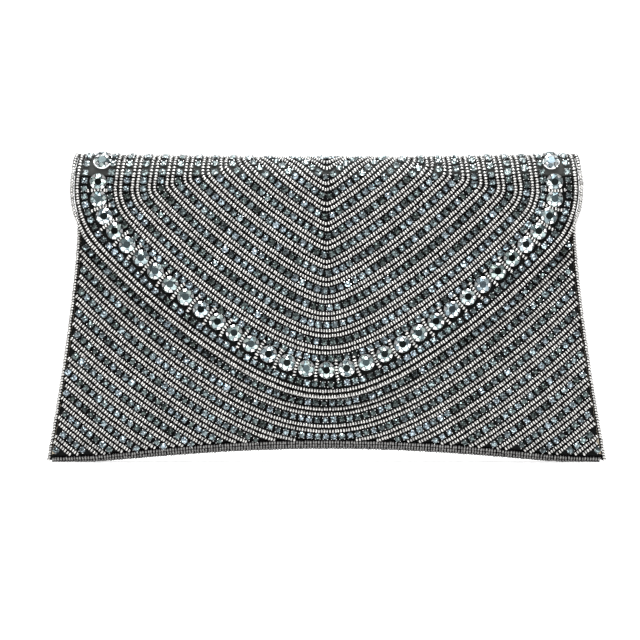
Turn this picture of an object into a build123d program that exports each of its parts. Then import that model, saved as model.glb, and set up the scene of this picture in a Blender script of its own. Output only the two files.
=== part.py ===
from build123d import *
import math
import os

# Beaded envelope clutch with a magnetic snap under the flap.
# Millimetres. It stands on the two flat bottom corners at z = 0, with +Z up and its front facing -Y.
# The shapes are drawn with the side seams at y = 0, then moved so that y = 0 is mid-thickness.
# Every sheet of the shell is a layer at a depth below the "ground", the outer face of the fabric
# that the beads are sewn to. Depths are positive inwards and negative in the bead layer.

os.makedirs("parts", exist_ok=True)

# ---------------------------------------------------------------- driving sizes
HEIGHT = 145.0  # floor to the top of the beads, in the middle of the fold
FOOT_WIDTH = 266.0  # across the two bottom corners, over the beads
TOP_WIDTH = 237.0  # across the sides where they stop flaring, over the beads
FLARE_HEIGHT = 110.0  # the sides flare out below this height
FLARE_POWER = 1.4  # how late the flare opens
FOLD_SAG = 1.5  # the fold hangs this much lower in the middle than at its ends
FOLD_FLAT = 2.9  # flat strip between the two rounded edges of the fold

BOTTOM_RISE = 6.0  # the bottom edge stands off the floor in the middle
RISE_POWER = 1.3  # how late the bottom edge leaves the floor
FOOT_LENGTH = 21.0  # length of the flat stretch at each bottom corner
FOOT_TRIM = 0.25  # pressed flat at each corner

BELLY_OVER_TIP = 20.0  # the fullest section is this far above the flap's tip, near the snap
SEAM_HALF = 5.0  # half thickness of the shell at the side seams
FRONT_SWELL = 7.0  # the front stands out this much more in the middle
BACK_SWELL = 9.5  # the back stands out this much more in the middle
MOUTH_SWELL = 2.0  # the front's swell at the mouth
LOW_SWELL_LOSS = 0.15  # share of the swell lost between belly and bottom
PILLOW_POWER = 3.0  # how square the pillow is, side to side
LEAST_FULLNESS = -0.05  # just past the side seam
SEAM_SHIFT = 3.0  # the side seam leans back by this much at the fold
BOTTOM_RADIUS = 9.0  # roll under the bottom edge, in the middle
CORNER_RADIUS = 0.8  # the same at the flat corners
LEAST_RADIUS = 0.3  # of any sheet in that roll

BEAD = 2.1  # seed bead diameter, the thickness of the bead layer
FABRIC = 0.5
BOARD = 1.2
LINING = 0.4
LAYER_GAP = 0.05  # between two sheets that are sewn or glued together
SEAM_GAP = 0.05  # front and back shells each stop this far from their seam

MOUTH_DROP = 17.0  # the front shell stops this far below the top
BINDING_DEPTH = 7.0
BINDING_THICKNESS = 0.5
BINDING_CLEARANCE = 0.4  # between the binding's ends and the gussets
GUSSET_THICKNESS = 1.2

FLAP_DROP = 111.8  # top of the fold's ground to the tip of the flap's edge row
FLAP_OVERHANG = 1.9  # the flap's shoulder stands out past the sides
TIP_RADIUS = 60.0
TIP_ANGLE = 22.0
ARM_RADIUS = 130.0
ARM_ANGLE = 32.0
LONG_ANGLE = 47.0
SHOULDER_RADIUS = 41.7
SIDE_LEAN = 9.0  # degrees that the flap's sides lean in above the shoulder

EDGE_BEAD_HALF = 1.05  # half width of the bead row on the flap's edge
EDGE_BEAD_PROUD = 1.0
EDGE_BAND = 7.6  # inner border of the narrow bead band by the edge
FIELD_BORDER = 17.2  # outer border of the flap's bead field
STONE_LINE = 12.4  # the big stones stand this far in from the edge row
STONES_EACH_SIDE = 16
UNDERLAP = 14.0  # the front's beads run this far in under the flap

STONE_DIAMETER = 7.6
STONE_TABLE = 4.2
STONE_CROWN = 1.3
STONE_PAVILION = 1.7
CUP_WALL = 0.3
CUP_DIAMETER = STONE_DIAMETER + 2 * CUP_WALL
CUP_SPACE = 1.3  # between two cups at the tip
CUP_CROWDING = 0.93  # share of that space that is gone by the last cup on each side
CUP_HEIGHT = 2.2
CUP_BASE = 0.4
CUP_LIFT = 0.15
CUP_FOLD_LAP = 2.0  # a cup may reach this far over the flap's top edge
CLAW_DIAMETER = 0.9
CLAW_HEIGHT = 3.6
CLAWS = 4
STONE_GAP = 0.05
ARC_BEAD = 1.1  # beads between two big stones
ARC_SPAN = 7.6
ARC_BULGE = 0.2
CORNER_STONE_ANGLE = 36.5

POCKET_WIDTH = 140.0
POCKET_BOTTOM = 32.0
POCKET_HEIGHT = 72.0
POCKET_HEM = 3.0
POCKET_THICKNESS = 0.4

SNAP_DIAMETER = 16.0
SNAP_THICKNESS = 2.0
SNAP_WALL = 0.5
SNAP_HOLE = 6.6
STUD_PLATE = 0.9
STUD_POST = 5.8
STUD_LENGTH = 1.5
MAGNET_DIAMETER = 13.4
SNAP_MARGIN = 1.5  # between the snap and the beads under the flap
SNAP_RELIEF = 0.3  # the plates stand this far off the curved sheets
SNAP_AIR = 0.15  # between the stud's plate and the socket when closed
WASHER_DIAMETER = 14.0
WASHER_THICKNESS = 0.5
PRONG_WIDTH = 2.0
PRONG_THICKNESS = 0.5
PRONG_SPACING = 8.0
PRONG_CLEARANCE = 0.15

STAY_WIDTH = 1.8
STAY_LENGTH = 220.0

# ---------------------------------------------------------------- derived sizes
FABRIC_IN = FABRIC
BOARD_OUT = FABRIC_IN + LAYER_GAP
BOARD_IN = BOARD_OUT + BOARD
LINING_OUT = BOARD_IN + LAYER_GAP
LINING_IN = LINING_OUT + LINING

TOP_HALF = TOP_WIDTH / 2 - BEAD
FOOT_HALF = FOOT_WIDTH / 2 - BEAD
FOOT_START = FOOT_WIDTH / 2 - FOOT_LENGTH
GROUND_TOP = HEIGHT - BEAD
MOUTH_HEIGHT = HEIGHT - MOUTH_DROP
POCKET_TOP = POCKET_BOTTOM + POCKET_HEIGHT

# Front ground to flap ground when closed: the closed snap and the flap's own sheets fill it.
FLAP_STACK = LAYER_GAP + SNAP_THICKNESS + SNAP_AIR + STUD_PLATE + 2 * SNAP_RELIEF + LINING_IN
BACK_TOP_Y = SEAM_SHIFT + SEAM_HALF
FRONT_TOP_Y = SEAM_SHIFT - SEAM_HALF - MOUTH_SWELL
FLAP_TOP_Y = FRONT_TOP_Y - FLAP_STACK
FOLD_RADIUS = (BACK_TOP_Y - FLAP_TOP_Y - FOLD_FLAT) / 2
FOLD_BASE = GROUND_TOP - FOLD_RADIUS
CREST_STONE_Y = (FLAP_TOP_Y + BACK_TOP_Y) / 2
TIP_Z = GROUND_TOP - FLAP_DROP
BELLY_HEIGHT = TIP_Z + BELLY_OVER_TIP
SNAP_Z = TIP_Z + UNDERLAP + SNAP_DIAMETER / 2 + SNAP_MARGIN

# From the seam plane to the claw tips at the front and to the beads at the back.
FRONT_REACH = SEAM_HALF + FRONT_SWELL + FLAP_STACK + CUP_LIFT + CLAW_HEIGHT
BACK_REACH = SEAM_HALF + BACK_SWELL + BEAD
MID_SHIFT = (FRONT_REACH - BACK_REACH) / 2

SECTIONS = 15
OVERSHOOT = 10.0  # cutting shapes reach this far past what they cut
SECTION_REACH = FOOT_WIDTH / 2 + OVERSHOOT / 2
PROFILE_STEPS = 9
ARC_STEPS = 4
CUT_LEAD = 2.0  # a cutting solid starts this far before the piece that it cuts
PRISM_DEPTH = 200.0
NORMAL_STEP = 0.5
FOLD_LEAD = 0.02  # least straight stretch below the fold's round edges
OUTLINE_STEPS = 8


# ---------------------------------------------------------------- shape formulas
def half_width(z):
    """Half width of the ground at height z: straight above, flaring to the feet below."""
    rise = max(0.0, 1.0 - z / FLARE_HEIGHT)
    return TOP_HALF + (FOOT_HALF - TOP_HALF) * rise**FLARE_POWER


def fullness(x, z):
    """1 on the middle line, 0 at the side seam."""
    return max(LEAST_FULLNESS, 1.0 - (abs(x) / half_width(z)) ** PILLOW_POWER)


def belly(z):
    """1 at the fullest height, 0 at the fold."""
    if z >= BELLY_HEIGHT:
        share = min(1.0, (z - BELLY_HEIGHT) / (FOLD_BASE - BELLY_HEIGHT))
        return math.cos(math.pi / 2 * share) ** 2
    return 1.0 - LOW_SWELL_LOSS * ((BELLY_HEIGHT - z) / BELLY_HEIGHT) ** 2


def bottom_z(x):
    """Underside of the beads: raised in the middle, flat at the corners."""
    inside = max(0.0, 1.0 - (x / FOOT_START) ** 2)
    return BOTTOM_RISE * inside**RISE_POWER - FOOT_TRIM


def roll_radius(x):
    """Radius of the ground's roll under the bottom edge."""
    return CORNER_RADIUS + (BOTTOM_RADIUS - CORNER_RADIUS) * max(0.0, fullness(x, 0.0))


def front_y(x, z):
    """Ground of the front shell."""
    b = belly(z)
    swell = MOUTH_SWELL * (1 - b) + FRONT_SWELL * b
    return SEAM_SHIFT * (1 - b) - SEAM_HALF - swell * fullness(x, z)


def back_y(x, z):
    """Ground of the back shell."""
    b = belly(z)
    return SEAM_SHIFT * (1 - b) + SEAM_HALF + BACK_SWELL * b * fullness(x, z)


def flap_y(x, z):
    """Ground of the flap: straight along the fold, FLAP_STACK off the front at the belly."""
    b = belly(z)
    full = SEAM_HALF + FRONT_SWELL * fullness(x, z) + FLAP_STACK
    return FLAP_TOP_Y * (1 - b) - full * b


def fold_top(x):
    """Ground height of the fold's crest, sagging in the middle."""
    return GROUND_TOP + FOLD_SAG * min(1.0, (x / TOP_HALF) ** 2)


# ---------------------------------------------------------------- section profiles (y, z)
def shell_profile(ground, side, x, depth, top):
    """From the bottom seam out along the flat, round the roll and up to top.
    side is -1 for the front shell and 1 for the back shell."""
    low = bottom_z(x) + BEAD + depth
    radius = max(roll_radius(x) - depth, LEAST_RADIUS)
    corner_z = low + radius
    wall = ground(x, corner_z) - side * depth
    centre = wall - side * radius
    points = [(side * SEAM_GAP, low), (0.5 * centre, low), (centre, low)]
    for i in range(1, ARC_STEPS):
        turn = math.pi / 2 * i / ARC_STEPS
        points.append((centre + side * radius * math.sin(turn), corner_z - radius * math.cos(turn)))
    for i in range(PROFILE_STEPS + 1):
        z = corner_z + (top - corner_z) * i / PROFILE_STEPS
        points.append((ground(x, z) - side * depth, z))
    return points


def flap_profile(x, depth, low, top):
    """Straight down the front, from low to top."""
    steps = [low + (top - low) * i / PROFILE_STEPS for i in range(PROFILE_STEPS + 1)]
    return [(flap_y(x, z) + depth, z) for z in steps]


def fold_profile(x, depth):
    """From the flap's top edge, over both rounded edges of the fold, to the back's top edge."""
    radius = FOLD_RADIUS - depth
    centre_z = fold_top(x) - FOLD_RADIUS
    front = FLAP_TOP_Y + FOLD_RADIUS
    back = BACK_TOP_Y - FOLD_RADIUS
    points = [(front - radius, FOLD_BASE + LAYER_GAP)]
    for i in range(ARC_STEPS + 1):
        turn = math.pi / 2 * i / ARC_STEPS
        points.append((front - radius * math.cos(turn), centre_z + FOLD_LEAD + radius * math.sin(turn)))
    for i in range(ARC_STEPS + 1):
        turn = math.pi / 2 * i / ARC_STEPS
        points.append((back + radius * math.sin(turn), centre_z + FOLD_LEAD + radius * math.cos(turn)))
    points.append((back + radius, FOLD_BASE + LAYER_GAP))
    return points


def section_wire(x, outer, inner):
    """Closed wire in the plane of x, between two profiles that run the same way."""
    a = [Vector(x, y, z) for y, z in outer]
    b = [Vector(x, y, z) for y, z in inner]
    edges = [Edge.make_spline(a), Edge.make_line(a[-1], b[-1])]
    edges += [Edge.make_spline(b[::-1]), Edge.make_line(b[0], a[0])]
    return Wire(edges)


def section_places(reach):
    """Even places from side to side."""
    return [reach * (2 * i / (SECTIONS - 1) - 1) for i in range(SECTIONS)]


def sheet(profile, outer_depth, inner_depth, reach=SECTION_REACH):
    """Solid between two depths of one profile, carried from side to side."""
    wires = []
    for x in section_places(reach):
        wires.append(section_wire(x, profile(x, outer_depth), profile(x, inner_depth)))
    return Solid.make_loft(wires)


def bag_solid(depth, top):
    """Everything inside the shell at one depth, front and back together."""
    wires = []
    for x in section_places(SECTION_REACH):
        front = shell_profile(front_y, -1, x, depth, top)[::-1]
        back = shell_profile(back_y, 1, x, depth, top)
        a = [Vector(x, y, z) for y, z in front]
        b = [Vector(x, y, z) for y, z in back]
        edges = [Edge.make_spline(a), Edge.make_line(a[-1], b[0])]
        edges += [Edge.make_spline(b), Edge.make_line(b[-1], a[0])]
        wires.append(Wire(edges))
    return Solid.make_loft(wires)


# ---------------------------------------------------------------- outlines seen from the front
def prism(wire):
    """The outline carried through the bag, front to back."""
    face = Face(wire)
    return Solid.extrude(face.moved(Location((0, -PRISM_DEPTH / 2, 0))), Vector(0, PRISM_DEPTH, 0))


def side_outline(spread, low, top):
    """Prism of the shell's outline, moved outwards by spread."""
    right = []
    for i in range(OUTLINE_STEPS + 1):
        z = low + (top - low) * i / OUTLINE_STEPS
        right.append(Vector(half_width(z) + spread, 0, z))
    left = [Vector(-p.X, 0, p.Z) for p in right]
    edges = [Edge.make_spline(right), Edge.make_line(right[-1], left[-1])]
    edges += [Edge.make_spline(left[::-1]), Edge.make_line(left[0], right[0])]
    return prism(Wire(edges))


def flap_arcs(inset):
    """The flap's edge from the tip to the shoulder: (radius, start angle, end angle) of each arc.
    Every arc turns about a centre above it, so a line further in has smaller radii."""
    sines = [math.sin(math.radians(a)) for a in (TIP_ANGLE, ARM_ANGLE, LONG_ANGLE)]
    reach = TOP_HALF + BEAD + FLAP_OVERHANG
    fixed = TIP_RADIUS * sines[0] + ARM_RADIUS * (sines[1] - sines[0])
    fixed += SHOULDER_RADIUS * (1 - sines[2])
    long_radius = (reach - fixed) / (sines[2] - sines[1])
    radii = [TIP_RADIUS, ARM_RADIUS, long_radius, SHOULDER_RADIUS]
    angles = [0.0, TIP_ANGLE, ARM_ANGLE, LONG_ANGLE, 90.0 + SIDE_LEAN]
    return [(radii[i] - inset, angles[i], angles[i + 1]) for i in range(4)]


def arc_point(start, radius, begin, angle):
    """Point on an arc that leaves start heading at begin, where its heading is angle."""
    a = math.radians(begin)
    b = math.radians(angle)
    return Vector(
        start.X + radius * (math.sin(b) - math.sin(a)), 0, start.Z + radius * (math.cos(a) - math.cos(b))
    )


def flap_path(inset, top):
    """Right half of a line that runs inset from the flap's edge row, up to height top."""
    point = Vector(0, 0, TIP_Z + inset)
    edges = []
    for radius, begin, end in flap_arcs(inset):
        middle = arc_point(point, radius, begin, (begin + end) / 2)
        last = arc_point(point, radius, begin, end)
        edges.append(Edge.make_three_point_arc(point, middle, last))
        point = last
    lean = math.radians(SIDE_LEAN)
    rise = max(top - point.Z, 1.0)
    end = Vector(point.X - math.tan(lean) * rise, 0, point.Z + rise)
    edges.append(Edge.make_line(point, end))
    return edges, end


def flap_outline(inset, top):
    """Prism of everything inside a line that runs inset from the flap's edge row."""
    right, end = flap_path(inset, top)
    left = [edge.mirror(Plane.YZ) for edge in right]
    closing = Edge.make_line(end, Vector(-end.X, 0, end.Z))
    return prism(Wire(right + left + [closing]))


def half_space(low):
    """Everything above height low."""
    return Pos(0, 0, low + PRISM_DEPTH) * Box(4 * SECTION_REACH, PRISM_DEPTH, 2 * PRISM_DEPTH)


def slab(low, top, width=4 * SECTION_REACH):
    """Everything between two heights, as wide as asked."""
    return Pos(0, 0, (low + top) / 2) * Box(width, PRISM_DEPTH, top - low)


# ---------------------------------------------------------------- snap hardware
def along_y(radius, start, length):
    """Cylinder about the snap's line, from start towards +Y."""
    return Pos(0, start + length / 2, SNAP_Z) * Rot(90, 0, 0) * Cylinder(radius, length)


def prongs(start, length, grow=0.0):
    """The two legs that hold a snap half, from start towards +Y."""
    legs = Part()
    for side in (-1, 1):
        leg = Box(PRONG_THICKNESS + 2 * grow, length, PRONG_WIDTH + 2 * grow)
        legs += Pos(side * PRONG_SPACING / 2, start + length / 2, SNAP_Z) * leg
    return legs


FRONT_FACE = front_y(0, SNAP_Z)
FLAP_INNER_FACE = flap_y(0, SNAP_Z) + LINING_IN
SOCKET_BACK = FRONT_FACE - LAYER_GAP - SNAP_RELIEF
SOCKET_FACE = SOCKET_BACK - SNAP_THICKNESS
STUD_FACE = FLAP_INNER_FACE + SNAP_RELIEF
SOCKET_WASHER_Y = FRONT_FACE + BOARD_IN - WASHER_THICKNESS - SNAP_RELIEF
STUD_WASHER_Y = flap_y(0, SNAP_Z) + BOARD_OUT + SNAP_RELIEF


def socket_legs(grow=0.0):
    """Legs of the socket, from its back to the inner face of its washer."""
    start = SOCKET_BACK - SNAP_WALL
    return prongs(start, SOCKET_WASHER_Y + WASHER_THICKNESS - start, grow)


def stud_legs(grow=0.0):
    """Legs of the stud, from its washer's outer face to its plate."""
    return prongs(STUD_WASHER_Y, STUD_FACE + STUD_PLATE / 2 - STUD_WASHER_Y, grow)


def snap_socket():
    """Steel cup with the stud's hole in its face, open to the back for the magnet."""
    cup = along_y(SNAP_DIAMETER / 2, SOCKET_FACE, SNAP_THICKNESS)
    cup -= along_y(MAGNET_DIAMETER / 2 + STONE_GAP, SOCKET_FACE + SNAP_WALL, SNAP_THICKNESS)
    cup -= along_y(SNAP_HOLE / 2, SOCKET_FACE - 1, SNAP_THICKNESS)
    rim = along_y(SNAP_DIAMETER / 2, SOCKET_BACK - SNAP_WALL, SNAP_WALL)
    rim -= along_y(SNAP_HOLE / 2, SOCKET_BACK - SNAP_THICKNESS, 2 * SNAP_THICKNESS)
    return cup + rim + socket_legs()


def snap_magnet():
    """Ring magnet inside the socket."""
    start = SOCKET_FACE + SNAP_WALL + STONE_GAP
    length = SNAP_THICKNESS - 2 * SNAP_WALL - 2 * STONE_GAP
    return along_y(MAGNET_DIAMETER / 2, start, length) - along_y(SNAP_HOLE / 2, start - 1, length + 2)


def snap_stud():
    """Steel plate with the post that enters the socket."""
    plate = along_y(SNAP_DIAMETER / 2, STUD_FACE, STUD_PLATE)
    post = along_y(STUD_POST / 2, STUD_FACE + STUD_PLATE, STUD_LENGTH)
    return plate + post + stud_legs()


def washer(start, legs):
    """Backing plate that the legs pass through."""
    return along_y(WASHER_DIAMETER / 2, start, WASHER_THICKNESS) - legs


# ---------------------------------------------------------------- stones
def stone_solid():
    """Cut stone standing on +Z: pavilion, girdle, crown and table."""
    low = CUP_LIFT + CUP_BASE + STONE_GAP
    girdle = low + STONE_PAVILION
    with BuildSketch(Plane.XZ) as half:
        Polygon(
            (0, low),
            (STONE_TABLE / 4, low),
            (STONE_DIAMETER / 2 - CUP_WALL, girdle),
            (STONE_TABLE / 2, girdle + STONE_CROWN),
            (0, girdle + STONE_CROWN),
            align=None,
        )
    return revolve(half.sketch, Axis.Z)


def setting_solid():
    """Open cup with claws round its rim."""
    cup = Pos(0, 0, CUP_LIFT + CUP_HEIGHT / 2) * Cylinder(CUP_DIAMETER / 2, CUP_HEIGHT)
    hollow = CUP_HEIGHT - CUP_BASE
    bore = CUP_DIAMETER / 2 - CUP_WALL
    cup -= Pos(0, 0, CUP_LIFT + CUP_BASE + hollow / 2 + 0.5) * Cylinder(bore, hollow + 1)
    for i in range(CLAWS):
        turn = Rot(0, 0, 45 + 360 * i / CLAWS)
        claw = Pos(CUP_DIAMETER / 2 - CLAW_DIAMETER / 4, 0, CLAW_HEIGHT / 2 + CUP_LIFT)
        cup += turn * claw * Cylinder(CLAW_DIAMETER / 2, CLAW_HEIGHT)
    return cup - stone_room()


def stone_room():
    """Space that the stone takes, with its gap."""
    low = CUP_LIFT + CUP_BASE
    girdle = low + STONE_PAVILION
    half = STONE_DIAMETER / 2 - CUP_WALL + 2 * STONE_GAP
    cone = Cone(STONE_TABLE / 4 + STONE_GAP, half, STONE_PAVILION + STONE_GAP)
    crown = Cone(half, STONE_TABLE / 2 + STONE_GAP, STONE_CROWN + STONE_GAP)
    lower = Pos(0, 0, low + (STONE_PAVILION + STONE_GAP) / 2) * cone
    return lower + Pos(0, 0, girdle + STONE_GAP + (STONE_CROWN + STONE_GAP) / 2) * crown


def flap_plane(x, z, heading):
    """Plane on the flap's ground, facing out, with its X along the heading in the front view."""
    step = NORMAL_STEP
    along_x = Vector(2 * step, flap_y(x + step, z) - flap_y(x - step, z), 0)
    along_z = Vector(0, flap_y(x, z + step) - flap_y(x, z - step), 2 * step)
    normal = along_x.cross(along_z).normalized()
    a = math.radians(heading)
    run = Vector(math.cos(a), 0, math.sin(a))
    run = (run - normal * run.dot(normal)).normalized()
    return Plane(origin=(x, flap_y(x, z), z), x_dir=run, z_dir=normal)


def stone_distances():
    """Distance of each stone from the tip stone, closer together towards the fold."""
    distances = [0.0]
    for i in range(1, STONES_EACH_SIDE + 1):
        space = CUP_SPACE * (1 - CUP_CROWDING * (i / STONES_EACH_SIDE) ** 4)
        distances.append(distances[-1] + CUP_DIAMETER + space)
    return distances


def stone_line_place(distance):
    """(x, z, heading) at a distance from the tip along the stone line, right of the middle."""
    point = Vector(0, 0, TIP_Z + STONE_LINE)
    for radius, begin, end in flap_arcs(STONE_LINE):
        length = radius * math.radians(end - begin)
        if distance <= length:
            angle = begin + math.degrees(distance / radius)
            place = arc_point(point, radius, begin, angle)
            return place.X, place.Z, angle
        distance -= length
        point = arc_point(point, radius, begin, end)
    lean = math.radians(SIDE_LEAN)
    return point.X - distance * math.sin(lean), point.Z + distance * math.cos(lean), 90.0 + SIDE_LEAN


def places_below_fold(distances):
    """The places whose cups stay clear of the fold."""
    places = [stone_line_place(distance) for distance in distances]
    return [place for place in places if place[1] < FOLD_BASE - CUP_DIAMETER / 2 + CUP_FOLD_LAP]


def both_sides(places):
    """The same places mirrored about the middle, with a place on the middle line kept once."""
    mirrored = [(-x, z, 180.0 - heading) for x, z, heading in places if x > CUP_DIAMETER / 4]
    return places + mirrored


def stone_planes():
    """Planes of the big stones on the flap."""
    return [flap_plane(*place) for place in both_sides(places_below_fold(stone_distances()))]


def arc_planes():
    """Planes halfway between neighbouring stones, where the cups leave room for a row of beads."""
    stones = stone_distances()
    room = CUP_DIAMETER + ARC_BEAD + 2 * STONE_GAP
    halfway = [(a + b) / 2 for a, b in zip(stones, stones[1:]) if b - a > room]
    return [flap_plane(*place) for place in both_sides(places_below_fold(halfway))]


def bead_arc():
    """Short curved row of beads across the stone line, as one bent rod."""
    height = CUP_LIFT + ARC_BEAD / 2
    ends = [(ARC_BULGE / 2, -ARC_SPAN / 2, height), (ARC_BULGE / 2, ARC_SPAN / 2, height)]
    path = Edge.make_three_point_arc(ends[0], (-ARC_BULGE / 2, 0, height), ends[1])
    start = Plane(origin=path @ 0, z_dir=path % 0)
    return sweep(start * Circle(ARC_BEAD / 2), path=path)


def fold_planes():
    """Planes of the stones on the fold: one on the crest and one on its front edge, each side."""
    path_end = flap_path(STONE_LINE, GROUND_TOP)[1]
    x = path_end.X
    crest = Plane(origin=(x, CREST_STONE_Y, fold_top(x)), x_dir=(0, 1, 0), z_dir=(0, 0, 1))
    turn = math.radians(CORNER_STONE_ANGLE)
    centre_y = FLAP_TOP_Y + FOLD_RADIUS
    centre_z = fold_top(x) - FOLD_RADIUS
    out = Vector(0, -math.cos(turn), math.sin(turn))
    origin = Vector(x, centre_y, centre_z) + out * FOLD_RADIUS
    corner = Plane(origin=origin, x_dir=(0, math.sin(turn), math.cos(turn)), z_dir=out)
    planes = [crest, corner]
    for plane in (crest, corner):
        origin = Vector(-plane.origin.X, plane.origin.Y, plane.origin.Z)
        planes.append(Plane(origin=origin, x_dir=plane.x_dir, z_dir=plane.z_dir))
    return planes


def copies(solid, planes):
    """The same solid on every plane, as a group."""
    return Compound(children=[plane.location * solid for plane in planes])


# ---------------------------------------------------------------- sub-assemblies
def front_shell(depth_out, depth_in, top=MOUTH_HEIGHT, spread=0.0):
    """One sheet of the front shell."""
    layer = sheet(lambda x, d: shell_profile(front_y, -1, x, d, top), depth_out, depth_in)
    return layer & side_outline(spread, -OVERSHOOT / 2, top + OVERSHOOT / 2)


def back_shell(depth_out, depth_in, top=FOLD_BASE, spread=0.0):
    """One sheet of the back shell."""
    layer = sheet(lambda x, d: shell_profile(back_y, 1, x, d, top), depth_out, depth_in)
    return layer & side_outline(spread, -OVERSHOOT / 2, top + OVERSHOOT / 2)


def flap_sheet(depth_out, depth_in):
    """Uncut sheet of the flap, from below the tip to the fold."""
    low = TIP_Z - 2 * EDGE_BEAD_HALF
    return sheet(lambda x, d: flap_profile(x, d, low, FOLD_BASE), depth_out, depth_in)


def fold_sheet(depth_out, depth_in, inset):
    """One sheet of the fold, cut to the flap's width."""
    layer = sheet(fold_profile, depth_out, depth_in)
    return layer & flap_outline(inset, HEIGHT + OVERSHOOT)


def pouch_parts():
    """Everything that stays still."""
    legs = socket_legs(PRONG_CLEARANCE)
    floor = half_space(0.0)
    underlap = flap_outline(UNDERLAP, HEIGHT + OVERSHOOT)
    washer_room = along_y(WASHER_DIAMETER / 2 + PRONG_CLEARANCE, SOCKET_WASHER_Y - PRONG_CLEARANCE, 2.0)
    parts = {}
    parts["front_fabric"] = front_shell(0.0, FABRIC_IN) - legs
    parts["front_board"] = front_shell(BOARD_OUT, BOARD_IN) - legs - washer_room
    parts["front_lining"] = front_shell(LINING_OUT, LINING_IN)
    parts["front_beadwork"] = (front_shell(-BEAD, -LAYER_GAP) - underlap) & floor
    parts["back_fabric"] = back_shell(0.0, FABRIC_IN)
    parts["back_board"] = back_shell(BOARD_OUT, BOARD_IN)
    parts["back_lining"] = back_shell(LINING_OUT, LINING_IN)
    parts["back_beadwork"] = back_shell(-BEAD, -LAYER_GAP) & floor
    parts["left_gusset"], parts["right_gusset"] = gussets()
    parts["left_seam_beads"], parts["right_seam_beads"] = seam_beads()
    parts["mouth_binding"] = mouth_binding()
    pocket_out = LINING_IN + LAYER_GAP
    pocket = back_shell(pocket_out, pocket_out + POCKET_THICKNESS)
    parts["pocket_panel"] = pocket & slab(POCKET_BOTTOM, POCKET_TOP, POCKET_WIDTH)
    hem = back_shell(pocket_out, pocket_out + 2 * POCKET_THICKNESS)
    hem_low = POCKET_TOP + LAYER_GAP
    parts["pocket_hem"] = hem & slab(hem_low, hem_low + POCKET_HEM, POCKET_WIDTH)
    parts["snap_socket"] = snap_socket()
    parts["snap_magnet"] = snap_magnet()
    parts["socket_washer"] = washer(SOCKET_WASHER_Y, socket_legs(PRONG_CLEARANCE / 2))
    return parts


def gussets():
    """The strips that close the sides between the two linings, left and right."""
    cavity = bag_solid(LINING_IN + LAYER_GAP, MOUTH_HEIGHT)
    ring = side_outline(0.0, -OVERSHOOT / 2, MOUTH_HEIGHT)
    ring -= side_outline(-GUSSET_THICKNESS, -OVERSHOOT, MOUTH_HEIGHT + OVERSHOOT)
    strips = (cavity & ring).solids().sort_by(Axis.X)
    return strips[0], strips[-1]


def seam_beads():
    """The bead rows that cover the side seams, left and right."""
    hull = bag_solid(-BEAD, FOLD_BASE) & half_space(0.0)
    edge = side_outline(BEAD, -OVERSHOOT / 2, FOLD_BASE)
    edge -= side_outline(LAYER_GAP, -OVERSHOOT, FOLD_BASE + OVERSHOOT)
    strips = (hull & edge).solids().sort_by(Axis.X)
    return strips[0], strips[-1]


def mouth_binding():
    """Folded tape over the top edge of the front shell."""
    outside = -LAYER_GAP - BINDING_THICKNESS
    inside = LINING_IN + LAYER_GAP + BINDING_THICKNESS
    wrap = front_shell(outside, inside, MOUTH_HEIGHT + BINDING_THICKNESS + LAYER_GAP)
    core = front_shell(-LAYER_GAP, LINING_IN + LAYER_GAP, MOUTH_HEIGHT + LAYER_GAP, OVERSHOOT)
    between = side_outline(-GUSSET_THICKNESS - BINDING_CLEARANCE, 0.0, MOUTH_HEIGHT + OVERSHOOT)
    return (wrap - core) & slab(MOUTH_HEIGHT - BINDING_DEPTH, HEIGHT) & between


def fold_parts():
    """The rounded top that joins the back to the flap."""
    parts = {}
    planes = fold_planes()
    lapping = [plane for plane in stone_planes() if plane.origin.Z > FOLD_BASE - CUP_DIAMETER]
    sewn = EDGE_BEAD_HALF + LAYER_GAP
    parts["fold_fabric"] = fold_sheet(0.0, FABRIC_IN, sewn)
    parts["fold_lining"] = fold_sheet(LINING_OUT, LINING_IN, sewn)
    beads = fold_sheet(-BEAD, -LAYER_GAP, -EDGE_BEAD_HALF)
    for plane in planes + lapping:
        beads -= plane.location * Cylinder(CUP_DIAMETER / 2 + CLAW_DIAMETER / 2, 4 * BEAD)
    parts["fold_beadwork"] = beads
    middle = (FLAP_TOP_Y + BACK_TOP_Y) / 2
    stay = fold_sheet(BOARD_OUT, BOARD_IN, sewn)
    parts["fold_stay"] = stay & Pos(0, middle, GROUND_TOP) * Box(STAY_LENGTH, STAY_WIDTH, OVERSHOOT)
    parts["fold_stone_cups"] = copies(setting_solid(), planes)
    parts["fold_stones"] = copies(stone_solid(), planes)
    return parts


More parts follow.
